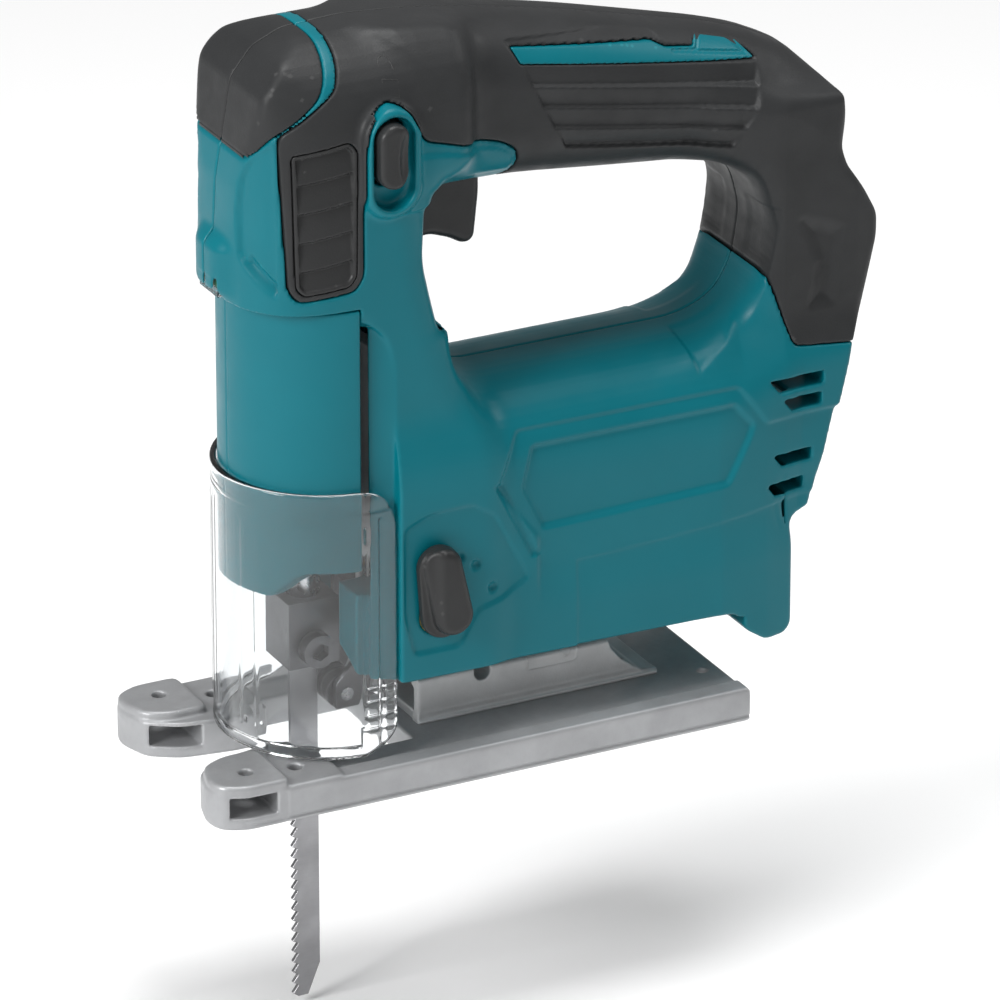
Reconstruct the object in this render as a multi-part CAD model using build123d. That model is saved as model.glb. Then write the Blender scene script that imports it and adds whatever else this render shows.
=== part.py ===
"""Cordless D-handle jigsaw, bare tool without its battery.

Frame: +X is the cutting direction, +Y the tool's left side, +Z up.
The origin lies on the sole of the base, on its centre line, at the blade.
All sizes are millimetres.
"""
from build123d import *
from math import cos, pi, sin, sqrt
import os

# ---------------------------------------------------------------- driving dimensions
WALL = 2.6            # moulded shell thickness
SKIN = 1.8            # soft grip layer thickness
GAP = 0.3             # clearance between pieces that move past each other
RUN = 0.05            # radial clearance of running fits

BODY_HALF = 27.0      # half width over the motor
GRIP_HALF = 17.0      # half width of the handle
REAR_HALF = 20.0      # half width of the rear strut
HEAD_TOP = 186.5      # highest point of the tool
SEAM_Z = 123.0        # where the head sits on the front cover

COLUMN_X = -6.0       # axis of the half-round front cover
COLUMN_R = 25.0
COLUMN_FOOT = 50.0    # lower edge of the front cover
GROOVE_X = -4.0       # joint between front cover and shells
COVER_R = 26.9        # outer radius of the clear dust cover
COVER_WALL = 1.6
COVER_LOW = 9.6
COVER_TOP = 79.0

MOTOR_Z = 64.0        # motor axis height
MOTOR_R = 18.0
MODULE = 0.8
PINION_TEETH = 8
GEAR_TEETH = 48
GEAR_FRONT = -12.0
GEAR_THICK = 6.0
STROKE = 18.0
ROD_R = 4.2
HOLDER_LOW = 26.0
HOLDER_TOP = 43.0
ROD_TOP = 115.0

BLADE_TIP = -64.0
BLADE_TOP = 38.0
BLADE_WIDE = 7.2
BLADE_THICK = 1.2
TOOTH_PITCH = 2.8

SOLE_HALF = 32.0
SOLE_REAR = -103.5
SOLE_FRONT = 37.0
PLATE_TOP = 7.6
RAIL_TOP = 8.6
TOE_TOP = 11.2
PAD_TOP = 9.2           # lower step of the toes, under the dust cover
ARCH_R = 22.0         # radius of the tilting seat about the bevel axis

SELECTOR_X = -22.5
SELECTOR_Z = 43.0
LOCK_X = -11.0
LOCK_Z = 161.0

GEAR_Z = MOTOR_Z + MODULE * (PINION_TEETH + GEAR_TEETH) / 2
CRANK_R = STROKE / 2
YOKE_Z = GEAR_Z - CRANK_R            # the plunger rests at the bottom of its stroke
BODY_FLOOR = 25.0
TILT_CLEAR = sqrt(SOLE_HALF ** 2 + TOE_TOP ** 2) + 0.8


# ---------------------------------------------------------------- shape helpers
def side(points, y0, y1):
    """Extrude an outline drawn in X and Z from y0 to y1."""
    outline = make_face(Polyline(*[(x, y0, z) for x, z in points], close=True))
    return extrude(outline, amount=y1 - y0, dir=(0, 1, 0))


def across(points, x0, x1):
    """Extrude an outline drawn in Y and Z from x0 to x1."""
    outline = make_face(Polyline(*[(x0, y, z) for y, z in points], close=True))
    return extrude(outline, amount=x1 - x0, dir=(1, 0, 0))


def upright(points, z0, z1):
    """Extrude an outline drawn in X and Y from z0 to z1."""
    outline = make_face(Polyline(*[(x, y, z0) for x, y in points], close=True))
    return extrude(outline, amount=z1 - z0, dir=(0, 0, 1))


def block(x0, x1, y0, y1, z0, z1):
    centre = Pos((x0 + x1) / 2, (y0 + y1) / 2, (z0 + z1) / 2)
    return centre * Box(x1 - x0, y1 - y0, z1 - z0)


def rod_x(x0, x1, y, z, radius):
    return Pos((x0 + x1) / 2, y, z) * Rot(0, 90, 0) * Cylinder(radius, x1 - x0)


def rod_y(x, y0, y1, z, radius):
    return Pos(x, (y0 + y1) / 2, z) * Rot(90, 0, 0) * Cylinder(radius, y1 - y0)


def rod_z(x, y, z0, z1, radius):
    return Pos(x, y, (z0 + z1) / 2) * Cylinder(radius, z1 - z0)


def hexagon_x(x0, x1, y, z, flats):
    reach = flats / sqrt(3)
    corners = [(y + reach * cos(i * pi / 3), z + reach * sin(i * pi / 3)) for i in range(6)]
    return across(corners, x0, x1)


def inset(points, amount):
    """Shrink an outline by moving every edge inwards, keeping its corners."""
    count = len(points)
    area = sum(points[i][0] * points[(i + 1) % count][1] - points[(i + 1) % count][0] * points[i][1]
               for i in range(count))
    turn = 1 if area > 0 else -1
    moved = []
    for i in range(count):
        (ax, ay), (bx, by), (cx, cy) = points[i - 1], points[i], points[(i + 1) % count]
        first = Vector(bx - ax, by - ay).normalized()
        second = Vector(cx - bx, cy - by).normalized()
        n1 = Vector(-first.Y, first.X) * turn
        n2 = Vector(-second.Y, second.X) * turn
        mitre = (n1 + n2) * (amount / (1 + n1.dot(n2)))
        moved.append((bx + mitre.X, by + mitre.Y))
    return moved


def arched(half, low, high, shoulder, steps=6):
    """A cross-section from the middle plane to a half width, with a rounded top."""
    points = [(0, low), (half, low)]
    for i in range(steps + 1):
        angle = pi / 2 * i / steps
        points.append((half * cos(angle), high - shoulder + shoulder * sin(angle)))
    return points


def mirrored(solid):
    return mirror(solid, about=Plane.XZ)


def one(shape):
    """The single solid of a boolean result."""
    return shape.solids()[0] if len(shape.solids()) == 1 else shape


parts = {}


def add(name, shape, colour):
    shape.label = name
    shape.color = Color(*colour)
    parts[name] = shape


def add_pair(name, left, colour):
    add(name + "_left", left, colour)
    add(name + "_right", mirrored(left), colour)


TEAL = (0.0, 0.42, 0.47)
BLACK = (0.09, 0.09, 0.1)
STEEL = (0.6, 0.61, 0.63)
DARK_STEEL = (0.25, 0.25, 0.27)
CAST = (0.72, 0.73, 0.74)
BRASS = (0.75, 0.6, 0.3)
COPPER = (0.72, 0.42, 0.24)
CLEAR = (0.85, 0.9, 0.95)

# ---------------------------------------------------------------- outlines of the housing, X and Z
BODY_OUTLINE = [
    (-13.5, 28), (-13.5, 97), (-36, 97), (-137.5, 97), (-141, 97), (-136, 88), (-131, 68), (-126, 47),
    (-120.5, 45), (-120.5, 16), (-112, 16), (-106, 20), (-103, BODY_FLOOR), (-98, BODY_FLOOR),
]
STRUT_OUTLINE = [(GROOVE_X, 29), (GROOVE_X, 140), (-24, 140), (-24, 131), (-30, 108), (-36, 98), (-36, 28)]
HEAD_OUTLINE = [
    (24, SEAM_Z), (24.6, 131), (22.5, 151), (17.5, 175), (11.5, 182.5), (4, 185.5), (-8.5, HEAD_TOP),
    (-26.5, 185.5), (-40, 183.5), (-40, 143), (-26, 141.5), (-24, 131), (-27, SEAM_Z),
]
GRIP_OUTLINE = [
    (-20, 186), (-45, 183), (-65, 179), (-89, 173), (-105, 169), (-116, 165.5), (-127, 160), (-134, 152),
    (-136, 143), (-134, 136), (-104, 135.5), (-49, 141.5), (-20, 141.5),
]
REAR_OUTLINE = [
    (-104, 150), (-134, 150), (-135, 134), (-141, 126), (-145, 119), (-145, 113), (-141, 98), (-138, 92),
    (-104, 92), (-112, 108), (-114, 120), (-111, 131), (-104, 135.5),
]


def region(outline, section, amount=0.0):
    """One stretch of the housing: side outline met by its cross-section, both shrunk by amount."""
    xs = [x for x, z in outline]
    flat = side(inset(outline, amount), -1, BODY_HALF + 5)
    profile = [(y if y == 0 else max(y - amount, 0), z) for y, z in section]
    profile = [(y, z - amount if z > 100 else z) for y, z in profile]
    return flat & across(profile, min(xs) - 1, max(xs) + 1)


BODY_SECTION = arched(BODY_HALF, 0, 96, 22)
STRUT_HALF = COLUMN_R - 0.9
STRUT_SECTION = [(0, 0), (STRUT_HALF, 0), (STRUT_HALF, 150), (0, 150)]
HEAD_SECTION = arched(26, 100, HEAD_TOP + 1, 30)
GRIP_SECTION = arched(GRIP_HALF, 100, HEAD_TOP + 1, 24)
REAR_SECTION = [(0, 60), (REAR_HALF, 60), (REAR_HALF, 133), (GRIP_HALF, 140), (GRIP_HALF, 170), (0, 170)]

body_out = region(BODY_OUTLINE, BODY_SECTION)
strut_out = region(STRUT_OUTLINE, STRUT_SECTION)
head_out = region(HEAD_OUTLINE, HEAD_SECTION)
grip_out = region(GRIP_OUTLINE, GRIP_SECTION)
rear_out = region(REAR_OUTLINE, REAR_SECTION)

# hollow inside, where the motor, drive and electrics sit
motor_bay = block(-118, -30, 0, 22, MOTOR_Z - 20, MOTOR_Z + 20)
DRIVE_BAY = [
    (-33, 49), (-33, 93), (-27.3, 103), (-27.3, 112.3), (-20, 118), (GROOVE_X + 1, 118), (GROOVE_X + 1, 49),
]
drive_bay = side(DRIVE_BAY, 0, 22.2)
orbit_bay = block(-19, GROOVE_X + 1, 0, 11, 20, 60)
selector_bay = block(-29, -16, 0, 22.2, 36.5, 60)
head_bay = side([(-22, 115), (14, 117), (12, 168), (-22, 174)], 0, 19)
switch_bay = side([(-24, 150), (-24, 170), (-80, 163), (-120, 153), (-120, 144), (-80, 147)], 0, 9.5)
REAR_BAY = [(-116, 158), (-130, 150), (-130, 124), (-137, 118), (-132, 70), (-118, 70), (-121, 120)]
rear_bay = side(REAR_BAY, 0, 12)
terminal_window = block(-140, -122, 0, 11.3, 95.7, 112.3)
cavity = terminal_window + motor_bay + drive_bay + orbit_bay
cavity = cavity + selector_bay + head_bay + switch_bay + rear_bay

# the trigger and the lock bar pass through the shells
TRIGGER_SLOT = block(-47.5, -22.5, 0, 8.3, 124, 152)
lock_hole = block(LOCK_X - 4.3, LOCK_X + 4.3, 0, 40, LOCK_Z - 8.3, LOCK_Z + 8.3)

# the base tilts under this half-round tunnel, and its seat is cut about the same axis
tilt_tunnel = block(-105.5, 30, 0, 60, 0, 60) & rod_x(-105.5, 30, 0, 0, TILT_CLEAR)
seat_rib = block(-92, -30, 0, 8.6, 20, 36) - rod_x(-95, -25, 0, 0, ARCH_R + 0.05)

# vents through the side wall behind the motor
VENTS = [(-120.0, 81.5, 15), (-121.5, 76.3, 11), (-119.3, 62.0, 11), (-117.5, 54.6, 11)]
vents = [block(x - length / 2, x + length / 2, 10, 40, z - 1.4, z + 1.4) for x, z, length in VENTS]

# battery slides down behind the rear strut, between two lips
BATTERY_HALF = 13.0
battery_bay = side([(-150, 125), (-136.5, 121), (-136.5, 104), (-130, 60), (-150, 60)], 0, BATTERY_HALF)
lip_groove = side([(-143, 121), (-139, 118), (-139, 106), (-133, 66), (-137, 66)], 0, BATTERY_HALF + 2.5)

shell = body_out + strut_out
for solid in (head_out, grip_out, rear_out):
    shell = shell + solid
# a soft layer covers the handle, the top of the head and the rear
grip_core = region(GRIP_OUTLINE, GRIP_SECTION, SKIN)
rear_core = region(REAR_OUTLINE, REAR_SECTION, SKIN)
GRIP_ZONE = [
    (-44, 200), (-44, 130), (-104, 130), (-98, 120), (-100, 112), (-120, 92), (-160, 92), (-160, 200),
]
grip_zone = side(GRIP_ZONE, 0, 40)
body_keep = body_out + strut_out + head_out
soft_grip = ((grip_out + rear_out) & grip_zone) - (grip_core + rear_core + body_keep)
for cutter in (battery_bay, lip_groove, motor_bay):
    soft_grip = soft_grip - cutter

nose_zone = side([(30, 163), (14, 168), (5, 174), (7, 181), (14, 200), (40, 200)], 0, 40)
nose_pad = (head_out & nose_zone) - region(HEAD_OUTLINE, HEAD_SECTION, SKIN)
SIDE_PAD = [
    (12.6, 165.5), (-1.2, 164.2), (-3.6, 161.5), (-3.6, 131), (-1.5, 128.6), (10.5, 126.8), (12.6, 129),
]
side_pad_pocket = side(SIDE_PAD, 25.2, 30)
side_pad = side(inset(SIDE_PAD, 0.2), 25.3, 27.0)
for i in range(5):
    rib_z = 132 + 6.4 * i
    rib = [(11.6, rib_z), (11.6, rib_z + 2.6), (-2.6, rib_z + 3.2), (-2.6, rib_z + 0.6)]
    side_pad = side_pad + side(rib, 26.9, 27.8)

shell = shell - soft_grip - nose_pad
LAMP = (19.8, 23.2, 5.0, 123.8, 127.2)
lamp_pocket = block(LAMP[0] - 0.3, LAMP[1] + 0.3, 0, LAMP[2] + 0.3, 120, 128.6)
openings = [TRIGGER_SLOT, lock_hole, tilt_tunnel, battery_bay, lip_groove, side_pad_pocket, lamp_pocket]
for cutter in [cavity] + openings:
    shell = shell - cutter
for vent in vents:
    shell = shell - vent
shell = shell + seat_rib
shell = shell & block(-200, 60, 0, 60, 0, 220)
shell = max(shell.solids(), key=lambda s: s.volume)

# screws join the halves from the right side: x, z and the half width there
SCREWS = [
    (-40, 39.5, 27), (-99, 39.5, 27), (-50, 87.6, 18.5),
    (-96, 87.6, 18.5), (-12, 177.5, 16.5), (-84, 165.6, 14.5),
]


def screw(x, z, half):
    head_end = -half + 5
    return rod_y(x, head_end - 3, head_end, z, 3.2) + rod_y(x, head_end - 1, 7.5, z, 1.7)


def screw_hole(x, z, half):
    return rod_y(x, -half - 9, -half + 5, z, 3.3) + rod_y(x, -half, 8, z, 1.75)


left_shell = shell - rod_y(SELECTOR_X, 0, 60, SELECTOR_Z, 5.05)
right_shell = mirrored(shell)
bolt_hole = rod_z(-60, 0, 20, 36, 3.0)
right_shell = right_shell - bolt_hole
left_shell = left_shell - bolt_hole
for place in SCREWS:
    left_shell = left_shell - screw_hole(*place)
    right_shell = right_shell - screw_hole(*place)
add("housing_left", one(left_shell), TEAL)
add("housing_right", one(right_shell), TEAL)
add("housing_screws", Compound(children=[one(screw(*place)) for place in SCREWS]), DARK_STEEL)
left_grip = max(soft_grip.solids(), key=lambda s: s.volume)
right_grip = mirrored(left_grip)
for place in SCREWS:
    right_grip = right_grip - screw_hole(*place)
add("soft_grip_left", left_grip, BLACK)
add("soft_grip_right", one(right_grip), BLACK)
add_pair("nose_pad", max(nose_pad.solids(), key=lambda s: s.volume), BLACK)
add_pair("side_pad", side_pad, BLACK)

# ---------------------------------------------------------------- front cover and dust cover
column = rod_z(COLUMN_X, 0, COLUMN_FOOT, SEAM_Z - GAP, COLUMN_R)
column = column - rod_z(COLUMN_X, 0, 0, 200, COLUMN_R - WALL)
front_cover = column & block(GROOVE_X + GAP, 40, -40, 40, 0, 200)
add("front_cover", one(front_cover), TEAL)

WRAP_X = -12.0
dust_ring = rod_z(COLUMN_X, 0, COVER_LOW, COVER_TOP, COVER_R)
dust_ring = dust_ring - rod_z(COLUMN_X, 0, 0, 200, COVER_R - COVER_WALL)
rim = rod_z(COLUMN_X, 0, COVER_LOW, COVER_LOW + 3, COVER_R) - rod_z(COLUMN_X, 0, 0, 200, COVER_R - 2.4)
rim = rim & block(-3, 40, -40, 40, 0, 200)
dust_cover = (dust_ring + rim) & block(WRAP_X, 40, -40, 40, 0, 200)
slope = side([(WRAP_X - 1, 69), (WRAP_X - 1, 90), (30, 90), (30, COVER_TOP), (4, COVER_TOP)], -40, 40)
dust_cover = dust_cover - slope
add("dust_cover", one(dust_cover), CLEAR)

# ---------------------------------------------------------------- motor
can = rod_x(-98, -44, 0, MOTOR_Z, MOTOR_R) - rod_x(-98, -46.5, 0, MOTOR_Z, 16.5)
can = can - rod_x(-50, -40, 0, MOTOR_Z, 5)
add("motor_can", one(can), STEEL)
magnet_ring = rod_x(-88, -52, 0, MOTOR_Z, 16.45) - rod_x(-90, -50, 0, MOTOR_Z, 15.2)
magnets = [one(magnet_ring & block(-90, -50, y0, y0 + 16, 0, 100)) for y0 in (4, -20)]
add("motor_magnets", Compound(children=magnets), DARK_STEEL)
end_bell = rod_x(-106, -98, 0, MOTOR_Z, MOTOR_R) - rod_x(-106, -101, 0, MOTOR_Z, 5.5)
end_bell = end_bell - rod_x(-102, -97, 0, MOTOR_Z, 3)
add("motor_end_bell", one(end_bell), BLACK)
brushes = [block(-97.5, -91, side_y, side_y + 6, MOTOR_Z - 2, MOTOR_Z + 2) for side_y in (6.3, -12.3)]
add("motor_brushes", Compound(children=brushes), DARK_STEEL)


def bearing(x0, x1, outer):
    return rod_x(x0, x1, 0, MOTOR_Z, outer) - rod_x(x0 - 1, x1 + 1, 0, MOTOR_Z, 2.0 + RUN)


bearings = [one(bearing(-106, -101, 5.5)), one(bearing(-27, -22, 5.5))]
add("motor_bearings", Compound(children=bearings), STEEL)
shaft = rod_x(-107, -21, 0, MOTOR_Z, 2.0) + rod_x(-22, -12, 0, MOTOR_Z, 1.2)
add("motor_shaft", one(shaft), STEEL)
core = rod_x(-86, -54, 0, MOTOR_Z, 14.6)
for i in range(8):
    angle = i * pi / 4
    core = core - rod_x(-90, -50, 13 * cos(angle), MOTOR_Z + 13 * sin(angle), 2.0)
add("armature_core", one(core - rod_x(-90, -50, 0, MOTOR_Z, 2.0)), COPPER)
commutator = rod_x(-97, -88, 0, MOTOR_Z, 6.0) - rod_x(-99, -86, 0, MOTOR_Z, 2.0)
add("commutator", one(commutator), COPPER)
fan = rod_x(-42, -40.5, 0, MOTOR_Z, 18.5) + rod_x(-42, -33, 0, MOTOR_Z, 5)
for i in range(9):
    blade_box = Pos(-37.5, 0, 0) * Box(8, 1.2, 13, align=(Align.CENTER, Align.CENTER, Align.MIN))
    fan = fan + Pos(0, 0, MOTOR_Z) * Rot(i * 40, 0, 0) * Pos(0, 0, 4.5) * blade_box
add("cooling_fan", one(fan - rod_x(-50, -30, 0, MOTOR_Z, 2.0)), BLACK)

# ---------------------------------------------------------------- gears


def gear(teeth, x0, x1, z, phase):
    """A spur gear of straight-sided teeth about an axis along X."""
    pitch_r = MODULE * teeth / 2
    outline = []
    for i in range(teeth):
        middle = phase + 2 * pi * i / teeth
        half_root = 0.62 * pi / (2 * teeth) * (1.45 if teeth > 20 else 1.5)
        half_tip = 0.42 * pi / (2 * teeth)
        for radius, shift in ((pitch_r - 1.0, -half_root), (pitch_r + 0.68, -half_tip),
                              (pitch_r + 0.68, half_tip), (pitch_r - 1.0, half_root)):
            outline.append((radius * cos(middle + shift), z + radius * sin(middle + shift)))
    return across(outline, x0, x1)


pinion = gear(PINION_TEETH, -20.5, GEAR_FRONT + 1, MOTOR_Z, 0) - rod_x(-30, -12, 0, MOTOR_Z, 1.2)
add("pinion", one(pinion), STEEL)
big_gear = gear(GEAR_TEETH, GEAR_FRONT - GEAR_THICK, GEAR_FRONT, GEAR_Z, pi / GEAR_TEETH)
big_gear = big_gear - rod_x(-30, -10, 0, GEAR_Z, 4.0 + RUN)
add("crank_gear", one(big_gear), STEEL)
crescent = rod_x(-21.0, -18.0, 0, GEAR_Z, 17) - rod_x(-30, -10, 0, GEAR_Z, 6.5)
crescent = crescent & block(-30, 0, -20, 20, GEAR_Z + 3, GEAR_Z + 20)
add("balance_weight", one(crescent), DARK_STEEL)
add("gear_axle", rod_x(-27, GEAR_FRONT + 0.2, 0, GEAR_Z, 4.0), STEEL)

# ---------------------------------------------------------------- gear case, bushings and plunger
case = block(-27, -22, -21.5, 21.5, 51, 112) + block(-10.5, -7.5, -21.5, 21.5, 58, 112)
for y0, y1 in ((17, 21.5), (-21.5, -17)):
    case = case + block(-23, -9, y0, y1, 58, 63) + block(-23, -9, y0, y1, 107, 112)
case = case - rod_x(-12, -6, 0, GEAR_Z, 15)
LOWER_LUG = (61.8, 69.6)
UPPER_LUG = (103.6, 112)
for z0, z1 in (LOWER_LUG, UPPER_LUG):
    case = case + block(-10.5, 7.5, -8, 8, z0, z1)
for y0, y1 in ((7.2, 9.6), (-9.6, -7.2)):
    case = case + block(-23, -10.5, y0, y1, 46.5, 57)
case = case - rod_x(-30, -20, 0, MOTOR_Z, 5.5) - rod_x(-30, -20, 0, GEAR_Z, 4.0)
case = case - rod_z(0, 0, 55, 115, 6.2)
PIVOT_X = -14.0
PIVOT_Z = 50.2
case = case - rod_y(PIVOT_X, -12, 12, PIVOT_Z, 2.0)
add("gear_case", one(case), CAST)
add("fork_pivot_pin", rod_y(PIVOT_X, -9.6, 9.6, PIVOT_Z, 2.0), STEEL)


def bushing(z0, z1):
    return rod_z(0, 0, z0, z1, 6.2) - rod_z(0, 0, z0 - 1, z1 + 1, ROD_R + RUN)


add("plunger_bushings", Compound(children=[bushing(*LOWER_LUG), bushing(*UPPER_LUG)]), BRASS)
yoke = block(-4, 4, -17, 17, YOKE_Z - 7, YOKE_Z + 7) - block(-5, 5, -14, 14, YOKE_Z - 4, YOKE_Z + 4)
rods = rod_z(0, 0, HOLDER_TOP - 4, YOKE_Z - 6, ROD_R) + rod_z(0, 0, YOKE_Z + 6, ROD_TOP, ROD_R)
add("plunger", one(yoke + rods), STEEL)
add("crank_pin", rod_x(GEAR_FRONT + 0.3, 4.2, 0, YOKE_Z, 2.6), STEEL)
crank_roller = rod_x(-3.8, 3.8, 0, YOKE_Z, 3.95) - rod_x(-6, 6, 0, YOKE_Z, 2.6)
add("crank_roller", one(crank_roller), STEEL)

# ---------------------------------------------------------------- blade and its holder
holder = block(-6.5, 6.5, -6.5, 6.5, HOLDER_LOW, HOLDER_TOP) - rod_z(0, 0, HOLDER_TOP - 4, 60, ROD_R)
holder = holder - block(-BLADE_WIDE / 2, BLADE_WIDE / 2, -BLADE_THICK / 2, BLADE_THICK / 2, 0, BLADE_TOP)
HOLDER_BOLT_Z = 31.0
holder = holder - rod_y(0, BLADE_THICK / 2, 10, HOLDER_BOLT_Z, 2.5)
add("blade_holder", one(holder), DARK_STEEL)
holder_bolt = rod_y(0, BLADE_THICK / 2, 7, HOLDER_BOLT_Z, 2.5) + rod_y(0, 6.5, 10, HOLDER_BOLT_Z, 4.2)
socket_key = extrude(Plane(origin=(0, 10, HOLDER_BOLT_Z), z_dir=(0, -1, 0)) * RegularPolygon(2.3, 6), 2.6)
add("holder_bolt", one(holder_bolt - socket_key), DARK_STEEL)


def blade_outline():
    """Teeth on the front edge from the tip up to the sole, a sloped tip at the rear."""
    half = BLADE_WIDE / 2
    points = [(-half, BLADE_TOP), (-half, BLADE_TIP + 8), (-half + 3.2, BLADE_TIP), (half - 1.4, BLADE_TIP)]
    z = BLADE_TIP + 1.0
    while z < -4:
        points.append((half, z))
        points.append((half - 1.5, z + TOOTH_PITCH * 0.72))
        z = z + TOOTH_PITCH
    points += [(half - 1.5, 0), (half, 3), (half, BLADE_TOP)]
    return points


add("blade", side(blade_outline(), -BLADE_THICK / 2, BLADE_THICK / 2), STEEL)

# ---------------------------------------------------------------- guide roller behind the blade
ROLLER_R = 4.6
ROLLER_X = -BLADE_WIDE / 2 - GAP - ROLLER_R
ROLLER_Z = 17.0
FORK = [(-17, 53), (-11, 53), (-10.5, 25), (-5.5, 20), (-5.5, 13.5), (-11.5, 13.5), (-16, 23)]
fork = side(FORK, 5.0, 6.8) + side(FORK, -6.8, -5.0) + block(-16.4, -11.6, -6, 6, 42.5, 46)
fork = fork - rod_y(PIVOT_X, -10, 10, PIVOT_Z, 2.0 + RUN) - rod_y(ROLLER_X, -10, 10, ROLLER_Z, 1.6)
add("roller_fork", one(fork), DARK_STEEL)
add("roller_pin", rod_y(ROLLER_X, -6.8, 6.8, ROLLER_Z, 1.6), STEEL)
roller = rod_y(ROLLER_X, -4.7, 4.7, ROLLER_Z, ROLLER_R) - rod_y(ROLLER_X, -6, 6, ROLLER_Z, 1.6 + RUN)
blade_groove = rod_y(ROLLER_X, -1.1, 1.1, ROLLER_Z, ROLLER_R + 1)
blade_groove = blade_groove - rod_y(ROLLER_X, -2, 2, ROLLER_Z, ROLLER_R - 1)
roller = roller - blade_groove
add("guide_roller", one(roller), DARK_STEEL)

# ---------------------------------------------------------------- orbit selector
KNOB_Y = (27.3, 33.5)
KNOB_TIP = SELECTOR_Z + 10.5
knob = rod_y(SELECTOR_X, *KNOB_Y, SELECTOR_Z, 4.8) + rod_y(SELECTOR_X, *KNOB_Y, KNOB_TIP, 4.0)
knob = knob + block(SELECTOR_X - 4, SELECTOR_X + 4, *KNOB_Y, SELECTOR_Z, KNOB_TIP)
add("selector_knob", one(knob), BLACK)
cam = rod_y(SELECTOR_X, 12.5, KNOB_Y[0], SELECTOR_Z, 5.0) - block(-40, SELECTOR_X - 3.4, 10, 20, 30, 60)
add("selector_shaft", one(cam), BRASS)

# ---------------------------------------------------------------- trigger, switch and lock bar
trigger = side([(-25.5, 131), (-25.5, 146), (-44, 146), (-44, 138), (-42.5, 127), (-40, 126.3), (-36, 128.5),
                (-31, 131)], -7.6, 7.6)
add("trigger", trigger, BLACK)
add("switch_body", block(-70, -24.5, -9, 9, 152.3, 163), BLACK)
add("trigger_spring", one(rod_z(-34, 0, 146.2, 152.2, 3.2) - rod_z(-34, 0, 140, 160, 2.3)), STEEL)


def oblong(y0, y1, half_wide, half_high):
    end = half_high - half_wide
    body = block(LOCK_X - half_wide, LOCK_X + half_wide, y0, y1, LOCK_Z - end, LOCK_Z + end)
    upper = rod_y(LOCK_X, y0, y1, LOCK_Z + end, half_wide)
    return body + upper + rod_y(LOCK_X, y0, y1, LOCK_Z - end, half_wide)


lock = oblong(21, 30, 4.0, 8.0) + oblong(-26.2, -21, 4.0, 8.0)
lock = lock + block(LOCK_X - 3, LOCK_X + 3, -22, 22, 158, 164)
add("lock_bar", one(lock), BLACK)
add("control_board", block(-112, -84, -8, 8, 149.6, 151.2), (0.05, 0.3, 0.12))
add("lamp_lens", block(LAMP[0], LAMP[1], -LAMP[2], LAMP[2], LAMP[3], LAMP[4] - 1), CLEAR)
add("lamp_board", block(LAMP[0], LAMP[1], -LAMP[2], LAMP[2], LAMP[4] - 0.9, LAMP[4] + 1), (0.9, 0.9, 0.85))

# ---------------------------------------------------------------- battery terminals
terminal = block(-133.5, -123, -11, 11, 96, 112)
slots = [block(-134, -130, y - 0.5, y + 0.5, 98, 110) for y in (-7, 0, 7)]
for slot in slots:
    terminal = terminal - slot
add("terminal_block", one(terminal), BLACK)
contacts = [block(-141, -130, y - 0.45, y + 0.45, 98.2, 109.8) for y in (-7, 0, 7)]
add("battery_contacts", Compound(children=contacts), BRASS)

# ---------------------------------------------------------------- base
TOE = [(4, 31.8), (30, 31.8), (35.5, 29), (37, 24), (34.5, 15), (27, 10.2), (14, 8), (4, 8)]
TOE_BLOCK = [(18.5, 31.8), (30, 31.8), (35.5, 29), (36.6, 24), (34, 16), (28, 13.2), (18.5, 13.2)]
half_base = block(SOLE_REAR, 5, 0, SOLE_HALF, 0, PLATE_TOP)
half_base = half_base + block(SOLE_REAR, 19, 26, SOLE_HALF, 0, RAIL_TOP)
half_base = half_base + upright(TOE, 0, PAD_TOP) + upright(TOE_BLOCK, 0, TOE_TOP)
half_base = half_base - block(-20, 60, -1, 8, -1, 20) - block(-20, 8, -1, 14, -1, 20)
half_base = half_base - block(-20, 3, -1, 18, -1, 20) - block(-76, -44, -1, 17.5, -1, 20)
RULE = (22, 33.4, 3.0, 8.2)
half_base = half_base - block(RULE[0], RULE[1], 5, 40, RULE[2], RULE[3])
half_base = half_base - rod_z(26.5, 24, 6, 20, 1.7) - rod_z(13, 22.6, -1, 20, 1.7)
half_base = half_base - block(-99, -24, 19, 28.5, -1, 4.6)
# the key lies under the deck on the left and is drawn out at the rear
KEY_Y = 23.2
KEY_Z = 2.6
key_way = block(-110, -42, KEY_Y - 2.4, KEY_Y + 2.4, -1, 4.9)
key_way = key_way + block(-110, -91.5, KEY_Y - 15, KEY_Y, -1, 4.9)
base_plate = (half_base - key_way) + mirrored(half_base)
BRACKET_SCREWS = [(-34, 6), (-81, 6), (-34, -6), (-81, -6)]
for x, y in BRACKET_SCREWS:
    base_plate = base_plate - rod_z(x, y, -1, 20, 1.7) - rod_z(x, y, -1, 2.4, 3.1)
base_plate = base_plate - rod_z(-99, 16, 1, 20, 1.2)
add("base_plate", one(base_plate), CAST)

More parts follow.
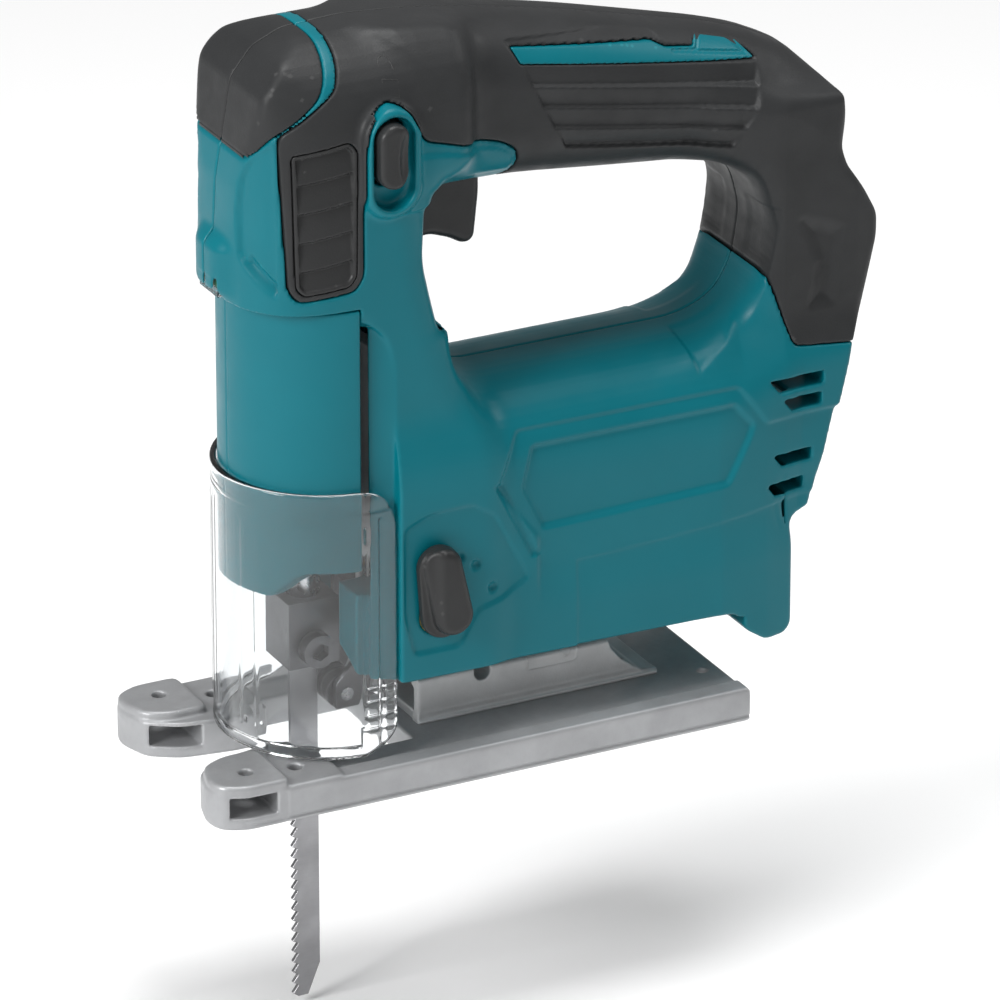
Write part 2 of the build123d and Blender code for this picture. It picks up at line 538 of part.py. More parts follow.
ARCH_WALL = 3.5
CLAMP_ZONE = (-73, -47)
feet = block(-86, -28, -12, 12, PLATE_TOP, PLATE_TOP + 2.5)
walls = block(-86, -27, -12, 12, PLATE_TOP, 19) - block(-84, -25, -9.5, 9.5, 0, 19)
crown = block(-86, -27, -12, 12, 0, 40) + block(*CLAMP_ZONE, -19.5, 19.5, 0, 40)
crown = crown & rod_x(-86, -27, 0, 0, ARCH_R)
crown = crown - rod_x(-90, -20, 0, 0, ARCH_R - ARCH_WALL)
bracket = (walls & rod_x(-86, -27, 0, 0, ARCH_R)) + feet
bracket = bracket - block(*CLAMP_ZONE, -15, 15, 0, 12)
bracket = bracket - (rod_x(*CLAMP_ZONE, 0, 0, ARCH_R - ARCH_WALL) & block(-90, -20, -30, 30, 0, 30))
bracket = bracket + (crown & block(-90, -20, -30, 30, PLATE_TOP, 30))
for i in range(-9, 10):
    bracket = bracket - Rot(i * 5.2, 0, 0) * rod_z(-60, 0, 14, 26, 3.3)
for x, y in BRACKET_SCREWS:
    bracket = bracket - rod_z(x, y, 2, 12, 1.5)
add("base_bracket", one(bracket), CAST)
screws = []
for x, y in BRACKET_SCREWS:
    screws.append(rod_z(x, y, 2, PLATE_TOP + 2.3, 1.5) + rod_z(x, y, 0.5, 2.3, 2.8))
add("bracket_screws", Compound(children=screws), DARK_STEEL)
short_arm = block(-96, -92.6, KEY_Y - 14, KEY_Y, KEY_Z - 1.7, KEY_Z + 1.7)
add("hex_key", one(hexagon_x(-96, -44, KEY_Y, KEY_Z, 3.4) + short_arm), DARK_STEEL)

washer = rod_x(-70, -50, 0, 0, ARCH_R - ARCH_WALL - 0.1) - rod_x(-72, -48, 0, 0, ARCH_R - ARCH_WALL - 2.1)
washer = (washer & block(-72, -48, -6, 6, 5, 30)) - rod_z(-60, 0, 0, 30, 3.0)
add("bevel_washer", one(washer), STEEL)
bolt = rod_z(-60, 0, 12.0, 35.5, 3.0)
hexagon_head = Pos(-60, 0, 11.4) * extrude(RegularPolygon(5.0, 6), 4.0)
add("bevel_bolt", one(bolt + hexagon_head), DARK_STEEL)

os.makedirs("parts", exist_ok=True)
for name, shape in parts.items():
    export_step(shape, f"parts/{name}.step")
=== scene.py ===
import math

import bpy
import numpy as np
from mathutils import Matrix, Vector


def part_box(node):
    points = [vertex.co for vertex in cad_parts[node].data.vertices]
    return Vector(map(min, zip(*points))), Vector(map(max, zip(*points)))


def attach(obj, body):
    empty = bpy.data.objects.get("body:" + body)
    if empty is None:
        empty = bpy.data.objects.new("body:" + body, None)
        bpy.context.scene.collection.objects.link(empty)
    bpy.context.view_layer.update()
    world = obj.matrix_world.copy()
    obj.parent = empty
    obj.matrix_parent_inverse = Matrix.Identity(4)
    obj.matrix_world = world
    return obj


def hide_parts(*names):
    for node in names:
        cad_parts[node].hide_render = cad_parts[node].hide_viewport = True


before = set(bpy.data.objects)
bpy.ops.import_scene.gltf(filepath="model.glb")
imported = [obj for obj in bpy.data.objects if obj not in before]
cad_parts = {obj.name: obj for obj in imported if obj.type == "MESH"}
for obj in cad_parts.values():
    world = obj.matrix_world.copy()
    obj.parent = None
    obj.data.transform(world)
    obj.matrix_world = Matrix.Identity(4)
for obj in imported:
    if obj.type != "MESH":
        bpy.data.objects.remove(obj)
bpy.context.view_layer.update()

MM = 0.001

# ---------------------------------------------------------------- measures, in millimetres
SEAM_Z = 123.0          # underside of the head, over the front cover
COLUMN_X = -6.0         # axis of the half-round front column
COLUMN_R = 25.0
GROOVE_X = -4.0         # where the front cover meets the shells
COVER_R = 26.9          # outside of the clear dust cover
COVER_INSIDE = 25.25    # inside of its upper part, which slides over the column
SKIN = 1.8              # thickness of the soft layers
JOINT = 0.14            # gap around the soft layers
SEAM_GAP = 0.07         # half of the groove between the two shells
TUNNEL_R = 34.7         # room for the tilting base under the housing
ARCH = 22.0             # radius of the base's seat, about the bevel axis
ARCH_INSIDE = 18.5
SEAT_HALF = 12.0        # half width of the bracket outside and inside its walls
SEAT_INSIDE = 9.5
BOLT_X = -60.0          # the bevel bolt
CLAMP_HALF = 13.0       # half length of the clamp's wide arch
DECK = 7.6              # top of the base plate between its rails
RAIL_TOP = 8.6
RAIL_Y = 29.0           # middle of a rail, and its half width
RAIL_HALF = 3.0
PAD_TOP = 9.2           # lower and upper step of the toes
TOE_TOP = 11.2
SOLE_REAR = -103.5
SOLE_HALF = 31.8
KEY_Y = 23.2            # the hex key under the deck
BRACKET_SCREWS_X = (-34, -81)
BRACKET_SCREWS_Y = 6


# ---------------------------------------------------------------- distance fields on a grid
class Grid:
    """A block of sample points; x, y and z are in millimetres and broadcast against each other."""

    def __init__(self, x, y, z, step):
        self.step = step
        self.low = np.array([x[0], y[0], z[0]], float)
        spans = [np.arange(a, b + step, step, dtype=np.float32) for a, b in (x, y, z)]
        self.x = spans[0][:, None, None]
        self.y = spans[1][None, :, None]
        self.z = spans[2][None, None, :]
        self.shape = tuple(len(s) for s in spans)

    def full(self, field):
        return np.broadcast_to(field, self.shape).astype(np.float32)


def polygon(points, a, b):
    """Signed distance to a closed outline in two coordinates, negative inside."""
    near = np.float32(1e9)
    inside = False
    for (ax, ay), (bx, by) in zip(points, points[1:] + points[:1]):
        ex, ey = bx - ax, by - ay
        t = np.clip(((a - ax) * ex + (b - ay) * ey) / (ex * ex + ey * ey + 1e-9), 0, 1)
        near = np.minimum(near, (a - ax - ex * t) ** 2 + (b - ay - ey * t) ** 2)
        if abs(ey) > 1e-9:
            inside = inside ^ (((ay > b) != (by > b)) & (a < ax + (b - ay) * ex / ey))
    return np.where(inside, -1, 1) * np.sqrt(near)


def rounded(points, radius, steps=4):
    """The outline with each corner turned into a short curve."""
    made = []
    for i, corner in enumerate(points):
        corner = np.array(corner, float)
        before = np.array(points[i - 1], float) - corner
        after = np.array(points[(i + 1) % len(points)], float) - corner
        reach = min(radius, 0.45 * np.linalg.norm(before), 0.45 * np.linalg.norm(after))
        p0 = corner + before / np.linalg.norm(before) * reach
        p1 = corner + after / np.linalg.norm(after) * reach
        for t in np.linspace(0, 1, steps):
            made.append(tuple((1 - t) ** 2 * p0 + 2 * t * (1 - t) * corner + t * t * p1))
    return made


def blend_min(a, b, k):
    h = np.clip(0.5 + 0.5 * (b - a) / k, 0, 1)
    return b + (a - b) * h - k * h * (1 - h)


def blend_max(a, b, k):
    return -blend_min(-a, -b, k)


def slab(flat, across, half, edge):
    """A flat outline given a thickness of 2 half, its edges rounded."""
    u = flat + edge
    v = np.abs(across) - (half - edge)
    outer = np.sqrt(np.maximum(u, 0) ** 2 + np.maximum(v, 0) ** 2)
    return np.minimum(np.maximum(u, v), 0) + outer - edge


def box_field(g, x, y, z, edge=0.0):
    """A box with rounded edges."""
    parts = []
    for value, (low, high) in ((g.x, x), (g.y, y), (g.z, z)):
        parts.append(np.abs(value - (low + high) / 2) - (high - low) / 2 + edge)
    outer = np.sqrt(sum(np.maximum(p, 0) ** 2 for p in parts))
    inner = np.minimum(np.maximum(np.maximum(parts[0], parts[1]), parts[2]), 0)
    return outer + inner - edge


def round_bar(g, axis, centre, span, radius, edge=0.0):
    """A round bar along one axis; centre is in the other two coordinates, in order."""
    values = [g.x, g.y, g.z]
    along = values.pop(axis)
    wide = np.sqrt((values[0] - centre[0]) ** 2 + (values[1] - centre[1]) ** 2) - radius
    return slab(wide, along - (span[0] + span[1]) / 2, (span[1] - span[0]) / 2, edge)


def shingles(value, fall):
    """Slopes from 0 up to 1 over each whole step of value, dropping back over a short share of it."""
    share = value - np.floor(value)
    return np.minimum(share / (1 - fall), (1 - share) / fall)


def ramp(value, width):
    """0 outside an outline and 1 inside, over a bevel of that width centred on its edge."""
    t = np.clip(0.5 - value / width, 0, 1)
    return t * t * (3 - 2 * t)


# ---------------------------------------------------------------- from a field to a mesh
def sample(g, field, points):
    """The field at any points, read between the grid's own."""
    at = (points - g.low) / g.step
    top = np.array(g.shape) - 2
    cell = np.clip(np.floor(at).astype(int), 0, top)
    t = at - cell
    total = 0
    for i in (0, 1):
        for j in (0, 1):
            for k in (0, 1):
                weight = (t[:, 0] if i else 1 - t[:, 0]) * (t[:, 1] if j else 1 - t[:, 1])
                weight = weight * (t[:, 2] if k else 1 - t[:, 2])
                total = total + weight * field[cell[:, 0] + i, cell[:, 1] + j, cell[:, 2] + k]
    return total


def slopes(g, field, points, reach):
    """How steeply the field changes along each axis."""
    made = np.zeros((len(points), 3))
    for axis in range(3):
        shift = np.zeros(3)
        shift[axis] = reach
        made[:, axis] = sample(g, field, points + shift) - sample(g, field, points - shift)
    return made / (2 * reach)


def net(g, field):
    """Points and four-sided faces of the surface where the field is zero."""
    inside = field < 0
    count = np.zeros(tuple(n - 1 for n in g.shape), np.int8)
    for i in (0, 1):
        for j in (0, 1):
            for k in (0, 1):
                corner = tuple(slice(n, size - 1 + n) for n, size in zip((i, j, k), g.shape))
                count += inside[corner]
    cells = np.argwhere((count > 0) & (count < 8))
    index = np.full(count.shape, -1, np.int32)
    index[tuple(cells.T)] = np.arange(len(cells))
    total = np.zeros((len(cells), 3))
    hits = np.zeros(len(cells))
    for axis in range(3):
        others = [a for a in range(3) if a != axis]
        for first in (0, 1):
            for second in (0, 1):
                start = np.zeros(3, int)
                start[others[0]] = first
                start[others[1]] = second
                end = start.copy()
                end[axis] = 1
                a = field[tuple((cells + start).T)]
                b = field[tuple((cells + end).T)]
                cut = (a < 0) != (b < 0)
                t = np.where(cut, a / np.where(cut, a - b, 1), 0)
                place = np.tile(start.astype(float), (len(cells), 1))
                place[:, axis] = t
                total[cut] += place[cut]
                hits[cut] += 1
    points = g.low + (cells + total / hits[:, None]) * g.step
    faces = []
    for axis in range(3):
        lower = [slice(None)] * 3
        upper = [slice(None)] * 3
        lower[axis] = slice(0, -1)
        upper[axis] = slice(1, None)
        others = [a for a in range(3) if a != axis]
        cut = inside[tuple(lower)] != inside[tuple(upper)]
        edges = np.argwhere(cut)
        keep = np.all([(edges[:, o] > 0) & (edges[:, o] < g.shape[o] - 1) for o in others], axis=0)
        edges = edges[keep]
        ring = []
        for first, second in ((0, 0), (1, 0), (1, 1), (0, 1)):
            cell = edges.copy()
            cell[:, others[0]] -= first
            cell[:, others[1]] -= second
            ring.append(index[tuple(cell.T)])
        quad = np.stack(ring, 1)
        flip = inside[tuple(edges.T)]
        if axis != 1:
            flip = ~flip
        quad[flip] = quad[flip][:, ::-1]
        faces.append(quad)
    return points, np.concatenate(faces)


def surface(g, field, passes=3):
    """The zero surface with its points drawn onto it, and the surface's own directions."""
    field = g.full(field)
    points, faces = net(g, field)
    for _ in range(passes):
        slope = slopes(g, field, points, 0.5 * g.step)
        size = (slope ** 2).sum(1)
        move = sample(g, field, points)[:, None] * slope / np.maximum(size, 0.15)[:, None]
        length = np.linalg.norm(move, axis=1, keepdims=True)
        points = points - move * np.minimum(1, 0.4 * g.step / np.maximum(length, 1e-9))
    normals = slopes(g, field, points, 0.6 * g.step)
    normals = normals / np.maximum(np.linalg.norm(normals, axis=1, keepdims=True), 1e-9)
    return points, faces, normals


def mesh_object(name, points, faces, normals):
    mesh = bpy.data.meshes.new(name)
    mesh.from_pydata((points * MM).tolist(), [], faces.tolist())
    mesh.polygons.foreach_set("use_smooth", np.ones(len(mesh.polygons), bool))
    mesh.normals_split_custom_set_from_vertices(normals.tolist())
    made = bpy.data.objects.new(name, mesh)
    bpy.context.scene.collection.objects.link(made)
    return made


def piece(name, g, field, material, body="tool", nodes=(), turned=False):
    """A piece from a field. turned mirrors it to the tool's right side."""
    points, faces, normals = surface(g, field)
    if turned:
        points = points * [1, -1, 1]
        normals = normals * [1, -1, 1]
        faces = faces[:, ::-1]
    made = mesh_object(name, points, faces, normals)
    made.data.materials.append(material)
    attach(made, body)
    if nodes:
        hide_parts(*nodes)


# ---------------------------------------------------------------- materials
class Paint:
    """Builds one node material around a Principled BSDF."""

    def __init__(self, name, colour, rough, metal=0.0):
        self.material = bpy.data.materials.new(name)
        self.material.use_nodes = True
        self.tree = self.material.node_tree
        self.shader = self.tree.nodes["Principled BSDF"]
        self.set("Base Color", (*colour, 1))
        self.set("Roughness", rough)
        self.set("Metallic", metal)
        self.material.diffuse_color = (*colour, 1)
        self.colour = colour
        place = self.add("ShaderNodeTexCoord")
        self.place = place.outputs["Object"]

    def add(self, kind):
        return self.tree.nodes.new(kind)

    def set(self, socket, value):
        self.shader.inputs[socket].default_value = value

    def join(self, a, b):
        self.tree.links.new(a, b)

    def noise(self, scale, detail=3.0, stretch=None):
        """Noise over the piece; scale is in cells per metre."""
        made = self.add("ShaderNodeTexNoise")
        made.inputs["Scale"].default_value = scale
        made.inputs["Detail"].default_value = detail
        source = self.place
        if stretch:
            shape = self.add("ShaderNodeMapping")
            shape.inputs["Scale"].default_value = stretch
            self.join(source, shape.inputs["Vector"])
            source = shape.outputs["Vector"]
        self.join(source, made.inputs["Vector"])
        return made.outputs["Fac"]

    def spread(self, value, low, high, start=0.3, end=0.7):
        made = self.add("ShaderNodeMapRange")
        for socket, number in (("From Min", start), ("From Max", end), ("To Min", low), ("To Max", high)):
            made.inputs[socket].default_value = number
        self.join(value, made.inputs["Value"])
        return made.outputs["Result"]

    def vary_rough(self, value, low, high):
        self.join(self.spread(value, low, high), self.shader.inputs["Roughness"])

    def vary_colour(self, value, dark, light):
        mixed = self.add("ShaderNodeMix")
        mixed.data_type = "RGBA"
        mixed.inputs["A"].default_value = (*[c * dark for c in self.colour], 1)
        mixed.inputs["B"].default_value = (*[min(1, c * light) for c in self.colour], 1)
        self.join(self.spread(value, 0, 1), mixed.inputs["Factor"])
        self.join(mixed.outputs["Result"], self.shader.inputs["Base Color"])
        return mixed

    def paint_edge_highlight(self, mixed, light, share=0.5):
        """Sharp outer edges are painted a little lighter, a painted highlight along each edge."""
        shape = self.add("ShaderNodeNewGeometry")
        edge = self.spread(shape.outputs["Pointiness"], 0, share, 0.53, 0.62)
        # mixes the painted highlight colour in where the surface is sharply convex
        highlit = self.add("ShaderNodeMix")
        highlit.data_type = "RGBA"
        self.join(mixed.outputs["Result"], highlit.inputs["A"])
        highlit.inputs["B"].default_value = (*light, 1)
        self.join(edge, highlit.inputs["Factor"])
        self.join(highlit.outputs["Result"], self.shader.inputs["Base Color"])

    def bump(self, value, strength, distance):
        made = self.add("ShaderNodeBump")
        made.inputs["Strength"].default_value = strength
        made.inputs["Distance"].default_value = distance
        self.join(value, made.inputs["Height"])
        self.join(made.outputs["Normal"], self.shader.inputs["Normal"])


def moulded_teal():
    paint = Paint("teal_moulding", (0.0, 0.135, 0.17), 0.33)
    soft = paint.noise(24, 4)
    mixed = paint.vary_colour(soft, 0.94, 1.06)
    # convex edges get a lighter teal: a painted highlight
    paint.paint_edge_highlight(mixed, (0.02, 0.3, 0.34), 0.35)
    paint.vary_rough(paint.noise(130, 4), 0.31, 0.42)
    paint.bump(paint.noise(2600, 2), 0.14, 0.00006)
    paint.set("Specular IOR Level", 0.22)
    return paint.material


def rubber(name, colour, rough):
    paint = Paint(name, colour, rough)
    mixed = paint.vary_colour(paint.noise(40, 4), 0.86, 1.14)
    # convex edges get a lighter grey: a painted highlight
    paint.paint_edge_highlight(mixed, (0.09, 0.09, 0.09), 0.3)
    paint.set("Specular IOR Level", 0.28)
    paint.vary_rough(paint.noise(220, 4), rough - 0.07, rough + 0.07)
    paint.bump(paint.noise(1900, 3), 0.3, 0.00012)
    return paint.material


def cast_metal(name, colour, low, high, grain):
    paint = Paint(name, colour, low, 0.5)
    mixed = paint.vary_colour(paint.noise(60, 5), 0.86, 1.1)
    # convex edges get a near white: a painted highlight
    paint.paint_edge_highlight(mixed, (0.86, 0.86, 0.86), 0.6)
    paint.vary_rough(paint.noise(500, 4), low, high)
    paint.bump(paint.noise(grain, 3), 0.28, 0.00016)
    return paint.material


def machined(name, colour, low, high, stretch=(1, 1, 1)):
    paint = Paint(name, colour, low, 1.0)
    mixed = paint.vary_colour(paint.noise(90, 4), 0.8, 1.15)
    # convex edges get a brighter tone of the metal: a painted highlight
    paint.paint_edge_highlight(mixed, tuple(min(1, c * 1.6) for c in colour), 0.5)
    lines = paint.noise(700, 3, stretch)
    paint.vary_rough(lines, low, high)
    paint.bump(lines, 0.12, 0.00005)
    return paint.material


def clear_plastic():
    paint = Paint("clear_plastic", (0.95, 0.97, 0.98), 0.03)
    paint.set("Transmission Weight", 1.0)
    paint.set("IOR", 1.46)
    paint.vary_rough(paint.noise(60, 3), 0.015, 0.06)
    paint.bump(paint.noise(260, 2), 0.05, 0.0001)
    return paint.material


def circuit_board():
    paint = Paint("circuit_board", (0.02, 0.12, 0.05), 0.4)
    paint.vary_colour(paint.noise(900, 2), 0.6, 1.5)
    paint.vary_rough(paint.noise(300, 2), 0.3, 0.5)
    paint.bump(paint.noise(1500, 2), 0.2, 0.0001)
    return paint.material


TEAL = moulded_teal()
RUBBER = rubber("soft_rubber", (0.022, 0.023, 0.024), 0.48)
HARD_BLACK = rubber("hard_black", (0.022, 0.0225, 0.023), 0.4)
CAST = cast_metal("cast_alloy", (0.55, 0.555, 0.56), 0.5, 0.64, 1500)
PLATE = cast_metal("plate_alloy", (0.36, 0.365, 0.375), 0.4, 0.55, 1100)
CLEAR = clear_plastic()
BRIGHT = machined("bright_steel", (0.62, 0.62, 0.63), 0.18, 0.32)
DARK = machined("dark_steel", (0.1, 0.1, 0.105), 0.32, 0.48)
BLADE = machined("blade_steel", (0.3, 0.3, 0.31), 0.28, 0.44, (0.4, 1, 6))
BRASS = machined("brass", (0.7, 0.5, 0.2), 0.25, 0.4)
COPPER = machined("copper", (0.6, 0.3, 0.17), 0.3, 0.45)
BOARD = circuit_board()


# ---------------------------------------------------------------- outlines of the housing, X and Z
SILHOUETTE = [
    (21.2, 118), (21.9, 140), (21.2, 152), (17, 176), (11.5, 182.6), (4, 185.8), (-8.5, 186.8),
    (-26.5, 185.5), (-45, 183), (-65, 179), (-89, 173), (-105, 169), (-116, 165.5), (-127, 160), (-134, 152),
    (-136, 143),
    (-134.4, 138), (-136, 133), (-141, 126), (-145, 119), (-145, 113), (-141, 98), (-136, 88), (-131, 68),
    (-126, 47), (-120.3, 45), (-120.3, 18), (-118, 15.8), (-112, 15.8), (-106, 20), (-103, 25), (-98, 25.6),
    (-13, 27), (-4, 28), (-4, 118),
]
OPENING = [
    (-24.5, 131), (-30, 108), (-37, 95), (-48, 86), (-94, 86), (-105, 96), (-112.3, 108), (-114.2, 120),
    (-111, 131), (-104, 139), (-49, 150), (-24, 150),
]
FRONT = [
    (40, 118), (40, 200), (-34, 200), (-34, 150), (-28, 141.5), (-24.5, 131), (-30, 108), (-36, 98),
    (-36, 20), (-4, 20), (-4, 118),
]
BARREL = [(-10, 20), (-10, 110), (-141, 110), (-160, 60), (-150, 5), (-10, 5)]
GRIP = [
    (-14, 189), (-45, 183), (-65, 179), (-89, 173), (-105, 169), (-116, 165.5), (-127, 160), (-134, 152),
    (-136.4, 143), (-134, 134.6), (-104, 135.5), (-49, 141.6), (-14, 141.6),
]
REAR = [
    (-100, 152), (-136, 152), (-134.4, 138), (-136, 133), (-141, 126), (-145, 119), (-145, 113), (-141, 98),
    (-136, 88), (-133, 60), (-118, 60), (-90, 84), (-100, 92), (-108, 100), (-112.3, 108), (-114.2, 120),
    (-111, 131), (-100, 137),
]
RUBBER_ZONE = [
    (-3.2, 200), (-3, 188), (-2.6, 183.8), (-1.6, 180.5), (0.4, 176.6), (14, 167.6), (14.6, 165),
    (12.9, 129.4), (10.8, 126.4), (-2.7, 127.8), (-4.9, 131.3), (-4.9, 162), (-5.6, 167.4), (-8, 171.2),
    (-11.5, 172.8),
    (-15.5, 171), (-18.5, 165.5), (-21, 161.5), (-26.4, 160), (-44.6, 154.6), (-48.5, 151.9), (-49.6, 148.3),
    (-48.8, 145), (-46.5, 142.6), (-47, 120), (-100, 120), (-101.8, 126.6), (-108.2, 124.2), (-111.4, 118.9),
    (-120.2, 90.2), (-160, 86), (-160, 200),
]
NOSE_ZONE = [
    (40, 150), (20.5, 158.5), (15.6, 167), (4.9, 175.2), (2.8, 178.3), (1.3, 181.7), (0.4, 184.6),
    (0.2, 200), (40, 200),
]
PAD_FRAME = [
    (11.9, 162.6), (-1.6, 164.6), (-3.4, 162.6), (-3.0, 131.4), (-1.2, 129.2), (9.6, 128.0), (11.3, 130),
]
LOGO_STEP = [
    (-44.9, 83.9), (-104.2, 83.5), (-111.6, 73.2), (-150, 73), (-150, 10), (-49.5, 10), (-49.5, 57),
    (-38, 71.5),
]
LOGO_PANEL = [
    (-48.6, 79.6), (-102.7, 79.5), (-107.9, 73.5), (-106.8, 70.6), (-100.7, 59.9), (-51, 58.8), (-45.6, 70),
]
SWITCH_PANEL = [
    (-13.5, 66.6), (-20, 69.2), (-31.5, 69.4), (-37.4, 65.6), (-45.6, 50), (-46.8, 47.2), (-39.6, 43.6),
    (-33, 42.4), (-28, 34), (-16, 34), (-13.5, 44),
]
HANDLE_PANEL = [
    (-46.9, 177.8), (-86, 174), (-90, 168.9), (-97.7, 167.2), (-101, 171), (-107.2, 169.9), (-114.2, 161.2),
    (-111, 150.6), (-105.7, 142.3), (-62, 149.3), (-56, 160), (-50, 172.4),
]
STRIPE = [
    (-48.2, 176.2), (-86.6, 170.2), (-90, 168.3), (-97.7, 166.9), (-101, 170.6), (-107.0, 169.5),
    (-113.9, 161.4), (-100, 163.6), (-49.9, 172.4),
]
GUARD = [
    (-14, 158.8), (-26, 157.6), (-43.6, 153.2), (-47, 151), (-48.2, 148), (-47.3, 144.6), (-45, 142.8),
    (-14, 145),
]
CHEVRON = [
    (19, 165), (14.6, 161.4), (11.4, 155.5), (10.4, 147), (10.9, 136.5), (13.2, 133.6), (19.5, 127.2),
]
SEAT_SIDE = [
    (-24.6, 5), (-24.6, 30), (-74.5, 30), (-75.3, 19.5), (-76.4, 16.4), (-79, 13.2), (-82.5, 10.6),
    (-84.6, 9.0), (-88.5, 8.8), (-88.5, 5),
]
VENTS = [(-120.0, 81.5, 15), (-121.5, 76.3, 11), (-119.3, 62.0, 11), (-117.5, 54.6, 11)]
VENT_HALF = 1.6
SELECTOR = (-22.5, 43.0)
LOCK = (-11.0, 161.0)
SCREWS = [(-40, 39.5), (-99, 39.5), (-50, 87.6), (-96, 87.6), (-12, 177.5), (-84, 165.6)]
SCREW_HALF = [27, 27, 18.5, 18.5, 16.5, 14.5]

# outlines of the toes, X and the distance from the middle
TOE = [(4, 31.8), (30, 31.8), (35.5, 29), (37, 24), (34.5, 15), (27, 10.2), (14, 8.2), (4, 8.2)]
TOE_BLOCK = [(18.5, 31.8), (30, 31.8), (35.5, 29), (36.6, 24), (34, 16), (28, 13.2), (18.5, 13.2)]


def flat(g, points, radius=0.0):
    """Distance to an outline in X and Z."""
    return polygon(rounded(points, radius) if radius else points, g.x, g.z)


def cross(g, points, radius=0.0):
    """Distance to an outline in Y and Z."""
    return polygon(rounded(points, radius) if radius else points, g.y, g.z)


def front_block(g):
    """Head and front strut: half-round nose in plan, domed over the top."""
    plan_x = np.maximum(g.x - COLUMN_X, 0) / 28.4
    plan = ((plan_x ** 2.3 + (np.abs(g.y) / 26.6) ** 2.3) ** (1 / 2.3) - 1) * 26.6
    dome = [(-9, -9), (26.6, -9), (26.6, 158), (25.4, 169), (21.6, 177), (15, 183), (6, 186.6), (-9, 186.8)]
    made = blend_max(plan, cross(g, dome, 6), 7)
    return blend_max(made, flat(g, FRONT, 2), 5)


def barrel(g):
    """Motor housing with its domed top."""
    section = [
        (-30, -9), (26.8, -9), (27.1, 52), (27.0, 72), (25.8, 79), (22.6, 86), (17, 91), (9, 94), (0, 94.8),
        (-30, 94.8),
    ]
    plan = [(40, -9), (40, 27.2), (-99, 27.2), (-112, 24.6), (-122, 22), (-150, 20.4), (-150, -9)]
    made = blend_max(cross(g, section, 5), polygon(plan, g.x, g.y), 3)
    return blend_max(made, flat(g, BARREL, 2), 5)


def grip_bar(g):
    """The handle, a rounded bar that gets thinner towards its middle."""
    lean = 17.2 - 0.8 * ramp(g.x + 90, 40)
    return slab(flat(g, GRIP, 9), g.y, lean, 15.5)


def rear_strut(g):
    """Rear post, with bevelled edges and a flat back."""
    made = slab(flat(g, REAR, 2), g.y, 20.6, 3)
    plan = [(-150, -9), (-150, 17.6), (-138, 20.8), (-118, 20.8), (-108, 15.5), (-80, 15.5), (-80, -9)]
    return blend_max(made, polygon(plan, g.x, g.y), 5)


def hull(g):
    """The whole outer shape before its details."""
    opening = flat(g, OPENING, 8)
    front = blend_max(front_block(g), -opening, 11)
    rear = blend_max(rear_strut(g), -opening, 8)
    made = blend_min(front, barrel(g), 9)
    upper = blend_min(grip_bar(g), rear, 8)
    made = blend_min(made, upper, 9)
    gear_room = box_field(g, (-28.1, -9), (-9, 22.5), (60, 112.9), 2.2)
    made = blend_min(made, gear_room, 3)
    return blend_max(made, flat(g, SILHOUETTE, 1.5), 1.2)


def lamp_hood(g):
    """Small rounded hood over the lamp, on the nose."""
    along = (np.maximum(g.x - 17.8, 0) ** 3 + np.abs(g.y * 0.82) ** 3) ** (1 / 3) - 6.7
    return np.maximum(slab(along, g.z - 130.9, 7.3, 3.2), 12 - g.x)


def side_details(g, made):
    """Recesses and raised shapes on the side walls."""
    walls = ramp(13 - np.abs(g.y), 3)
    niche = [(-12.4, 10), (-12.4, 108), (-10.6, 114.4), (-6.6, 118.4), (0, 120.3), (9, 120.3), (9, 10)]
    floor = 24.6 - 0.33 * np.clip(g.x + 12, 0, 9)
    made = blend_max(made, -blend_max(flat(g, niche, 3), floor - g.y, 0.8), 0.8)
    slot = [(-6.6, 10), (-6.4, 117.4), (2, 117.4), (2, 10)]
    made = blend_max(made, -slab(flat(g, slot, 0.6), g.y - 30, 9.5, 0.3), 0.5)
    made = made + walls * 0.8 * ramp(flat(g, LOGO_STEP, 1), 1.5) * ramp(44 - g.z, 14)
    made = made + walls * 1.0 * ramp(flat(g, LOGO_PANEL, 1), 1.4)
    made = made + walls * 0.6 * ramp(flat(g, SWITCH_PANEL, 1.5), 0.9)
    slash = [(-37.4, 72.6), (-39.8, 72.2), (-49.8, 52.6), (-47.6, 52.6)]
    made = made + walls * 0.7 * ramp(flat(g, slash), 0.9)
    step = [(-60, 48.5), (-81.5, 49.2), (-118, 51.4), (-130, 51.4), (-130, 10), (-60, 10)]
    made = made + walls * 0.3 * ramp(flat(g, step), 0.7)
    for x, z in ((-28.1, 56.2), (-32.3, 53.7), (-36.8, 46.9)):
        dimple = np.sqrt((g.x - x) ** 2 + (g.z - z) ** 2) - 1.1
        made = made + walls * 0.8 * ramp(dimple, 0.9)
    return made - walls * 0.6 * ramp(flat(g, GUARD, 2), 1.0)


def lock_recess(g, made):
    """The raised oval around the lock button, with a scoop below it."""
    x, z = LOCK
    oval = np.sqrt((g.x - x + 0.6) ** 2 + (np.maximum(np.abs(g.z - z + 2.4) - 6.2, 0)) ** 2)
    rim = slab(oval - 7.4, g.y, 27.7, 2.0)
    made = blend_min(made, rim, 2.0)
    hollow = blend_max(oval - 5.2, 25.0 - g.y - 0.22 * np.maximum(z - 6 - g.z, 0), 1.6)
    return blend_max(made, -hollow, 0.9)


def nose_details(g, made):
    """The lamp's hood, the facet with its point below the nose pads, and a short slanted groove."""
    made = blend_min(made, lamp_hood(g), 2.5)
    chevron = polygon(rounded(CHEVRON, 1.2), g.y, g.z)
    fade = ramp(2 - g.x, 6)
    depth = 0.35 + 0.1 * np.clip(18.5 - g.y, 0, 8)
    made = made + fade * depth * ramp(chevron, 1.0)
    notch = polygon([(12.8, 134.6), (13.6, 136.4), (19.2, 131), (19.4, 128.6)], g.y, g.z)
    return made + fade * 0.7 * ramp(notch, 0.9)


